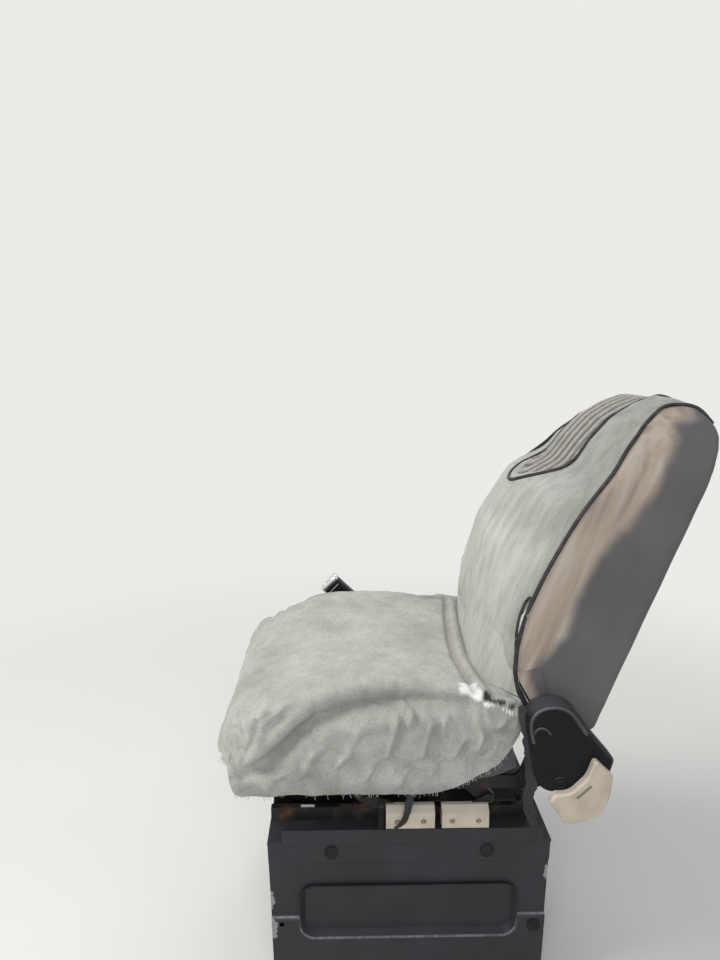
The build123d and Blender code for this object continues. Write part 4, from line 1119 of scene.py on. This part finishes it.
back_grid = wrap("backrest_pad", centre=(0, 295, 755), up=(0, 0.447, 0.894), half=(150, 190), turn_deg=158,
                 patch_cells=(70, 88), fan_cells=62)
back_grid = smooth_grid(back_grid, SMOOTHINGS)
outward = grid_normals(back_grid)
x, y, z = (back_grid[..., k] for k in range(3))
slipped_y = y - np.where(x < 0, slipped(z), 0)
welt_away, _ = to_line(slipped_y, z, [p[1:] for p in SIDE_WELT])
over_top = SIDE_WELT[WELT_AT_SHOULDER:]
inside_welt = np.abs(x) < np.interp(slipped_y, [p[1] for p in over_top], [p[0] for p in over_top])
is_front = np.where(z > SHOULDER_Z, inside_welt, welt_away > 0) & (outward[..., 1] < 0.72)
head_low = np.interp(x, [p[0] for p in HEAD_LOW], [p[1] for p in HEAD_LOW])
rising_edge = HEAD_EDGE[:7]
head_half = np.interp(z, [p[2] for p in rising_edge], [p[0] for p in rising_edge])
to_side = np.where(x > 0, head_half - x, head_half + COVER_SLIPPED + x)
in_head = (to_side > 0) & (z > head_low) & (outward[..., 1] < 0.8)
head_depth = np.minimum(to_side, z - head_low)
rib = 0.5 + 0.5 * np.cos(2 * math.pi * x / RIB_PITCH)
seam = ridge(welt_away, 9) * smoothstep(np.abs(x), 130, 170)
push = -3.0 * seam
ribs_out = 4.5 * smoothstep(head_depth, 0, 12) * rib ** 0.6
push += np.where(in_head, -5 * smoothstep(head_depth, 0, 10) + ribs_out, 0)
lip = (1 - smoothstep(np.abs(x), 40, 100)) * ridge(np.minimum(z - head_low, 0), 16)
push += np.where(in_head, -3 * lip, 7 * lip * (outward[..., 1] < 0))
front_only = smoothstep(welt_away, 6, 30)
drawn = np.stack([x, y * 0, z + 0.5 * y], axis=-1)
slack = 1.3 * noise_field(drawn, 40, 11, (1, 1, 4)) + 2.6 * noise_field(back_grid, 130, 12)
slack += 0.8 * noise_field(back_grid, 36, 13)
low_fold, _ = to_line(x, z, LOW_FOLD)
slack += (-4 * ridge(low_fold, 7) + 2.5 * ridge(low_fold - 14, 9)) * (1 - smoothstep(np.abs(x + 75), 60, 90))
push += np.where(in_head, 0, front_only * slack)
# the far shoulder is pressed in: its outline lies lower than the door side's
pressed = smoothstep(-x, 45, 150) * smoothstep(z, 850, 920) * (1 - smoothstep(outward[..., 1], 0.3, 0.8))
push -= PRESSED_IN * pressed
plain_grid = back_grid
back_grid = smooth_grid(back_grid + outward * push[..., None], 1)
rows, columns = back_grid.shape[:2]
faces = grid_faces(rows, columns)
face_front = is_front.ravel()[faces].mean(axis=1) > 0.5
face_head = in_head.ravel()[faces].mean(axis=1) > 0.5
back_faces = faces.tolist() + [grid_rim(rows, columns)]
cloths = [plush, velour, side_vinyl]
face_cloth = np.append(np.where(face_head, 1, np.where(face_front, 0, 2)), 2)
back = mesh_object("backrest_upholstery", back_grid.reshape(-1, 3), back_faces, cloths, face_cloth)
# the rib phase also sets the painted shade and highlight of the ribs' colour
set_attribute(back, "rib_crest", rib)
# tan dust on the side panels, which also paints the light on their front part; more of it on the door side
dust_and_light_away, _ = to_line(y, z, DUST_AND_LIGHT_EDGE)
wander = 7 * noise_field(back_grid, 60, 21) + 3 * noise_field(back_grid, 20, 22)
dust_and_light_share = 0.35 + 0.65 * smoothstep(x, -120, 120)
set_attribute(back, "dust_cover", smoothstep(dust_and_light_away + wander, -11, 13) * dust_and_light_share)
streaks = noise_field(drawn, 22, 14, (1, 1, 5))
set_attribute(back, "greyed", smoothstep(z + 22 * streaks, GREYER_FROM_Z - 10, GREYER_FROM_Z + 14))
# brown dirt and painted shade in the dent of the low fold; the welt term darkens along the welt
low_dirt_and_shade = np.exp(-((x + 60) / 45) ** 2 - ((z - 612) / 26) ** 2)
low_dirt_and_shade *= 0.8 + 0.5 * noise_field(back_grid, 18, 15)
set_attribute(back, "grime", np.clip(0.35 * ridge(welt_away, 18) + 0.55 * low_dirt_and_shade, 0, 1))
goes_with(back, "backrest")
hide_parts("backrest_pad")

back_tree = BVHTree.FromPolygons([v.co / MM for v in back.data.vertices], faces.tolist())
plain_tree = BVHTree.FromPolygons(plain_grid.reshape(-1, 3).tolist(), faces.tolist())
face_moved = (back_grid - plain_grid).reshape(-1, 3)[faces].mean(axis=1)


def laid_on_back(points, out, side=DOOR):
    """Points moved to the backrest's surface and raised by out; side mirrors them."""
    laid = []
    for (x, y, z), raised in zip(points, np.broadcast_to(out, len(points))):
        place, normal, face = plain_tree.find_nearest(Vector((side * x, y, z)))[:3]
        if (place - Vector((0, BACK_MIDDLE_Y, z))).dot(normal) < 0:
            normal = -normal
        laid.append(np.array(place + normal * float(raised)) + face_moved[face])
    return np.array(laid)


def evened(line, rounds=3):
    """A line with its small kinks taken out."""
    line = np.array(line)
    for _ in range(rounds):
        line[1:-1] = (line[:-2] + 2 * line[1:-1] + line[2:]) / 4
    return line


for side, word in ((DOOR, "door"), (INBOARD, "inboard")):
    drawn_line = catmull(SIDE_WELT, 6)
    if side == INBOARD:
        drawn_line[:, 1] += slipped(drawn_line[:, 2])
    line = laid_on_back(drawn_line, 1.6, side)
    hanging = drawn_line[:, 2] < WELT_HANGS_BELOW
    line[hanging] = drawn_line[hanging] * np.array([side, 1, 1])
    line = evened(line)
    side_welt = tube(f"welt_{word}", line, WELT_RADIUS, welt, uneven=0.14, seed=side)
    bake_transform(side_welt)

head_door = catmull(HEAD_EDGE, 5)
head_under = catmull([(x, 200 + 0.75 * abs(x), z - 6) for x, z in HEAD_LOW], 6)
mirrored = head_door[::-1] * np.array([-1, 1, 1]) - np.array([COVER_SLIPPED, 0, 0])
head_line = np.concatenate([mirrored[:-1], head_under[1:-1], head_door[1:]])
head_laid = laid_on_back(head_line, 1.2)
# the low part lies on the lip, as seen from the front
for k in range(len(head_door) - 1, len(head_door) + len(head_under) - 3):
    on_lip = back_tree.ray_cast(Vector((head_line[k][0], FROM_FRONT, head_line[k][2])), TO_REAR)[0]
    head_laid[k] = np.array(on_lip) - np.array([0, 1.5, 0])
head_welt = tube("welt_head_panel", evened(head_laid, 1), 3.4, welt, uneven=0.12, seed=3)
goes_with(head_welt, "backrest")
torn_strand = evened(laid_on_back(catmull(TORN_WELT, 6), 3.2))
goes_with(tube("welt_torn_strand", torn_strand, 2.3, welt, uneven=0.3, seed=9), "backrest")
torn_line = evened(laid_on_back(catmull(TORN_LINING, 8), 2.6))
torn_lining = strip("welt_torn_lining", torn_line, (5, 11, 4), (0.8, -0.6, 0), thread, 12, 0.3)
goes_with(torn_lining, "backrest")
torn_edge = torn_line[::2]
torn_outward = np.tile((0.6, -0.8, 0), (len(torn_edge), 1))
goes_with(frayed("welt_threads", torn_edge, torn_outward, 10, thread, 13), "backrest")

# Rear panel above the board, over the opening that the wrapped cover leaves there
REAR_PANEL_HALF = 192
REAR_PANEL_Z = (852, 938)
panel_x = np.linspace(-REAR_PANEL_HALF, REAR_PANEL_HALF, 65)
rear_across, rear_up = np.meshgrid(panel_x, np.linspace(*REAR_PANEL_Z, 22), indexing="ij")
rear_target = ray_target("backrest_pad")
rear_y = [rear_target.ray_cast(Vector((a, FROM_REAR, c)), TO_FRONT)[0].y + 0.6
          for a, c in zip(rear_across.ravel(), rear_up.ravel())]
rear_points = np.stack([rear_across.ravel(), rear_y, rear_up.ravel()], axis=1)
rear_panel = mesh_object("backrest_rear_panel", rear_points, grid_faces(*rear_up.shape).tolist(),
                         [side_vinyl])
set_attribute(rear_panel, "dust_cover", np.zeros(rear_up.shape))
goes_with(rear_panel, "backrest")

# Side panel's corner below, behind the loose end of the welt
corner_front, corner_rear = catmull(CORNER_FRONT, 5), catmull(CORNER_REAR, 5)
across = np.linspace(0, 1, 9)[None, :, None]
corner_grid = corner_front[:, None] * (1 - across) + corner_rear[:, None] * across
corner_faces = grid_faces(*corner_grid.shape[:2]).tolist()
corner = mesh_object("backrest_side_corner", corner_grid.reshape(-1, 3), corner_faces, [side_vinyl])
# the corner's front part gets the tan dust with its painted light
corner_dust_and_light = 1 - smoothstep(across[..., 0], 0.1, 0.75)
set_attribute(corner, "dust_cover", np.broadcast_to(corner_dust_and_light, corner_grid.shape[:2]))
goes_with(corner, "backrest")

# Plush tail that is tucked in behind the cushion: its foot stays there while the backrest leans
tail_x = np.linspace(TAIL_LOW[0][0], TAIL_LOW[-1][0], 74)
tail_y, tail_z = (np.interp(tail_x, [p[0] for p in TAIL_LOW], [p[k] for p in TAIL_LOW]) for k in (1, 2))
tail_foot = np.stack([tail_x, tail_y, tail_z], axis=1)
TAIL_TOP_Z = 640
tail_starts = [Vector((min(a, 230), FROM_FRONT, TAIL_TOP_Z)) for a in tail_x]
tail_top = np.array([back_tree.ray_cast(start, TO_REAR)[0] for start in tail_starts])
tail_top[:, 0] = np.minimum(tail_x, 235)
tail_top[:, 1] += 1.0
rise = np.linspace(0, 1, 18)[None, :, None]
tail_grid = tail_foot[:, None] * (1 - rise) + tail_top[:, None] * rise
bulge = 6.75 * rise[..., 0] * (1 - rise[..., 0]) ** 2
tail_grid[..., 1] -= 2.5 * bulge + 1.5 * noise_field(tail_grid, 38, 16) * bulge
tail_grid = smooth_grid(tail_grid, 3)
tail_faces = grid_faces(*tail_grid.shape[:2]).tolist()
tail = mesh_object("backrest_tail", tail_grid.reshape(-1, 3), tail_faces, [plush])
for name in ("greyed", "grime"):
    set_attribute(tail, name, np.zeros(tail_grid.shape[:2]))
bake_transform(tail)

# Torn trim strip that hangs out between the cushion and the recliner cover
TRIM_LINE = [
    (258, 166, 545), (262, 176, 520), (264, 184, 486), (265, 187, 450), (264, 187, 411),
    (262, 183, 385), (260, 190, 358), (257, 199, 331), (254, 212, 303)]
TRIM_WIDTHS = (10, 24, 26, 24, 20, 15, 18, 11, 4)
trim_line = catmull(TRIM_LINE, 6)
trim_line[:, 0] += 2 * noise_field(trim_line, 30, 51)
trim = strip("torn_trim_strip", trim_line, TRIM_WIDTHS, (1, 0, 0), trim_vinyl, 52, 0.28)
goes_with(trim, "carriage")
trim_edge = trim_line[8::3]
trim_outward = np.tile((0.4, 0.5, -0.4), (len(trim_edge), 1))
goes_with(frayed("trim_threads", trim_edge, trim_outward, 13, trim_vinyl, 53, 0.5), "carriage")

# Torn strap end and clip over the front grip; the near-black clip paints the shade in front of the grip
STRAP_LINE = [(240, -2, 388), (238, -4, 366), (235, -7, 345), (232, -14, 325), (231, -27, 313)]
strap = strip("torn_strap_end", catmull(STRAP_LINE, 6), (11, 12, 11, 9, 4), (1, 0, 0), trim_vinyl, 61, 0.25)
goes_with(strap, "carriage")


def bevelled_block(low, high, bevel):
    """Points and faces of a block with its edges cut back, from its lowest to its highest corner."""
    low, high = np.array(low, float), np.array(high, float)
    points = []
    for inset, z in ((bevel, low[2]), (0, low[2] + bevel), (0, high[2] - bevel), (bevel, high[2])):
        (x0, y0), (x1, y1) = low[:2] + inset, high[:2] - inset
        points += [(x0 + bevel, y0, z), (x1 - bevel, y0, z), (x1, y0 + bevel, z), (x1, y1 - bevel, z),
                   (x1 - bevel, y1, z), (x0 + bevel, y1, z), (x0, y1 - bevel, z), (x0, y0 + bevel, z)]
    return points, ring_faces(4, 8)


# near-black clip in front of the front grip: painted shade
shade_clip_form = bevelled_block((206, -54, 308), (227, -43, 352), 2.5)
goes_with(mesh_object("grip_clip_painted_shade", *shade_clip_form, [soft_black], rounded=False), "carriage")
bracket_form = bevelled_block((187.5, -184, 326), (191, -160, 331), 1)
goes_with(mesh_object("slide_bracket", *bracket_form, [zinc], rounded=False), "carriage")

# Rusty latch spring between the runner and its rail
COIL_TURNS = 14
coil = np.linspace(0, 2 * math.pi * COIL_TURNS, 170)
coil_y = -114 + 40 * coil / coil[-1]
latch_coil = np.stack([192 + 2.6 * np.cos(coil), coil_y, 330 + 2.6 * np.sin(coil)], axis=1)
latch_front, latch_rear = [(188, -118, 330), (191, -117, 330)], [(191, -71, 330), (188, -70, 330)]
latch_line = np.concatenate([latch_front, latch_coil, latch_rear])
goes_with(tube("latch_spring", latch_line, 0.8, rusty_steel, sides=6), "carriage")

# Bright mouth of the belt buckle, and a moulded line across its near face, drawn off-white as a painted
# highlight
BUCKLE_TOP = np.array((-272.0, -146.0, 573.0))
BUCKLE_AXIS = np.array((0, -0.7245, 0.6893))
BUCKLE_WIDE = np.array((0, 0.6893, 0.7245))
BUCKLE_HALF = (14, 22)
MOUTH_HALF = (3, 12.5)
MOUTH_DEEP = 9
MOUTH_SIDES = 64


def buckle_ring(half, squareness, rise):
    """Points around the buckle's axis, from an oval to a near rectangle."""
    angles = np.linspace(0, 2 * math.pi, MOUTH_SIDES, endpoint=False)
    cos, sin = np.cos(angles), np.sin(angles)
    reach = (np.abs(cos / half[0]) ** squareness + np.abs(sin / half[1]) ** squareness) ** (-1 / squareness)
    across = (reach * cos)[:, None] * np.array((1, 0, 0))
    return BUCKLE_TOP + across + (reach * sin)[:, None] * BUCKLE_WIDE + rise * BUCKLE_AXIS


# each ring of the mouth: the half size that it starts from, how far it is widened, its squareness, its height
MOUTH_RINGS = [
    (BUCKLE_HALF, -1, 6, -MOUTH_DEEP), (BUCKLE_HALF, 0.9, 6, -MOUTH_DEEP), (BUCKLE_HALF, 0.9, 6, 0.2),
    (BUCKLE_HALF, -0.6, 6, 1.4), (MOUTH_HALF, 1, 8, 1.4), (MOUTH_HALF, 0, 8, 0.6), (MOUTH_HALF, 0, 8, -6)]
mouth_rings = [buckle_ring((half[0] + wider, half[1] + wider), squareness, rise)
               for half, wider, squareness, rise in MOUTH_RINGS]
mouth_faces = [face for face in ring_faces(len(mouth_rings), MOUTH_SIDES) if len(face) == 4]
last = MOUTH_SIDES * (len(mouth_rings) - 1)
for k in range(MOUTH_SIDES):
    after = (k + 1) % MOUTH_SIDES
    mouth_faces.append((last + k, last + after, after, k))
mouth = mesh_object("buckle_mouth", np.concatenate(mouth_rings), mouth_faces, [chrome])
goes_with(mouth, "carriage")
# the moulded line is drawn in off-white thread material, a painted highlight of the light it catches
line_middle = BUCKLE_TOP + (BUCKLE_HALF[0], 0, 0) - 18 * BUCKLE_AXIS
line_places = [line_middle + reach * BUCKLE_WIDE for reach in np.linspace(-14, 14, 8)]
goes_with(tube("buckle_line_painted_highlight", line_places, 0.8, thread, sides=8), "carriage")

# Raised bead along the top of each recliner cover, with an embossed arc, both in a paler plastic that paints
# their highlight, and a screw on the door side
CAP_MIDDLE = (268, 226, 478)
CAP_ARC = [(272, 186, 505), (272, 189, 511), (272, 196, 514), (272, 205, 511), (272, 212, 503)]
SCREW_PROFILE = [(11, -1), (11, 0.6), (10, 1.6), (7.5, 1.6), (6.8, 0.9), (5.5, 0.9), (5, 1.4), (0.1, 1.7)]
for side, word in ((DOOR, "left"), (INBOARD, "right")):
    shell = ray_target(f"recliner_cap_{word}")
    bead = []
    for angle in np.radians(np.arange(30, 166, 3)):
        out = Vector((0, math.cos(angle), math.sin(angle)))
        middle = Vector((side * CAP_MIDDLE[0], *CAP_MIDDLE[1:]))
        edge = shell.ray_cast(middle + 160 * out, -out)[0]
        if edge is not None:
            bead.append(np.array(edge - 6.5 * out + Vector((side * 3.6, 0, 0))))
    bead_piece = tube(f"recliner_cap_bead_{word}", evened(bead, 6), 2.8, painted_highlight_black, sides=12)
    goes_with(bead_piece, "carriage")
arc_piece = tube("recliner_cap_arc", catmull(CAP_ARC, 6), 2.0, painted_highlight_black, sides=10)
goes_with(arc_piece, "carriage")
screw = turned(SCREW_PROFILE, 32, [(272, 230, 420)], (1, 0, 0))
goes_with(mesh_object("recliner_cap_screw", *screw, [soft_black]), "carriage")


def hexagon_bolts(name, places, across_flats, axis=(0, 0, 1)):
    """Zinc-plated hexagon heads with chamfered tops on their washers."""
    corner = across_flats / math.sqrt(3)
    high = 0.62 * across_flats
    washer = turned([(corner * 1.28, 0), (corner * 1.28, 1.6), (corner * 1.2, 2), (0.1, 2)], 28, places, axis)
    head = turned([(corner, 1.8), (corner, high * 0.85), (corner * 0.82, high), (0.1, high)], 6, places, axis)
    return mesh_object(name, *joined(washer, head), [zinc], rounded=False)


FLOOR_BOLTS = [(x, y, 3) for x in (-188, 188) for y in (-190, 190)]
# only at the rails' rear ends, clear of the runners' travel
RAIL_BOLTS = [(x, 196, 302.6) for x in (-165, 165)]
goes_with(hexagon_bolts("floor_bolt_heads", FLOOR_BOLTS, 17), "base")
goes_with(hexagon_bolts("rail_bolt_heads", RAIL_BOLTS, 10), "base")

# Push studs that hold the vinyl to the rear board
BOARD_STUDS = [         # x, z
    (-188, 545), (188, 545), (-188, 680), (188, 680), (-160, 832), (160, 832), (0, 845), (0, 518)]
STUD_PROFILE = [(7, -0.5), (7, 0.8), (6, 2), (3.5, 2.8), (0.1, 3)]
board = ray_target("backrest_board")
for number, (across, high) in enumerate(BOARD_STUDS, 1):
    spot, normal = board.ray_cast(Vector((across, 900, high)), TO_FRONT)[:2]
    stud = turned(STUD_PROFILE, 24, [spot], normal)
    goes_with(mesh_object(f"board_stud_{number}", *stud, [soft_black]), "backrest")
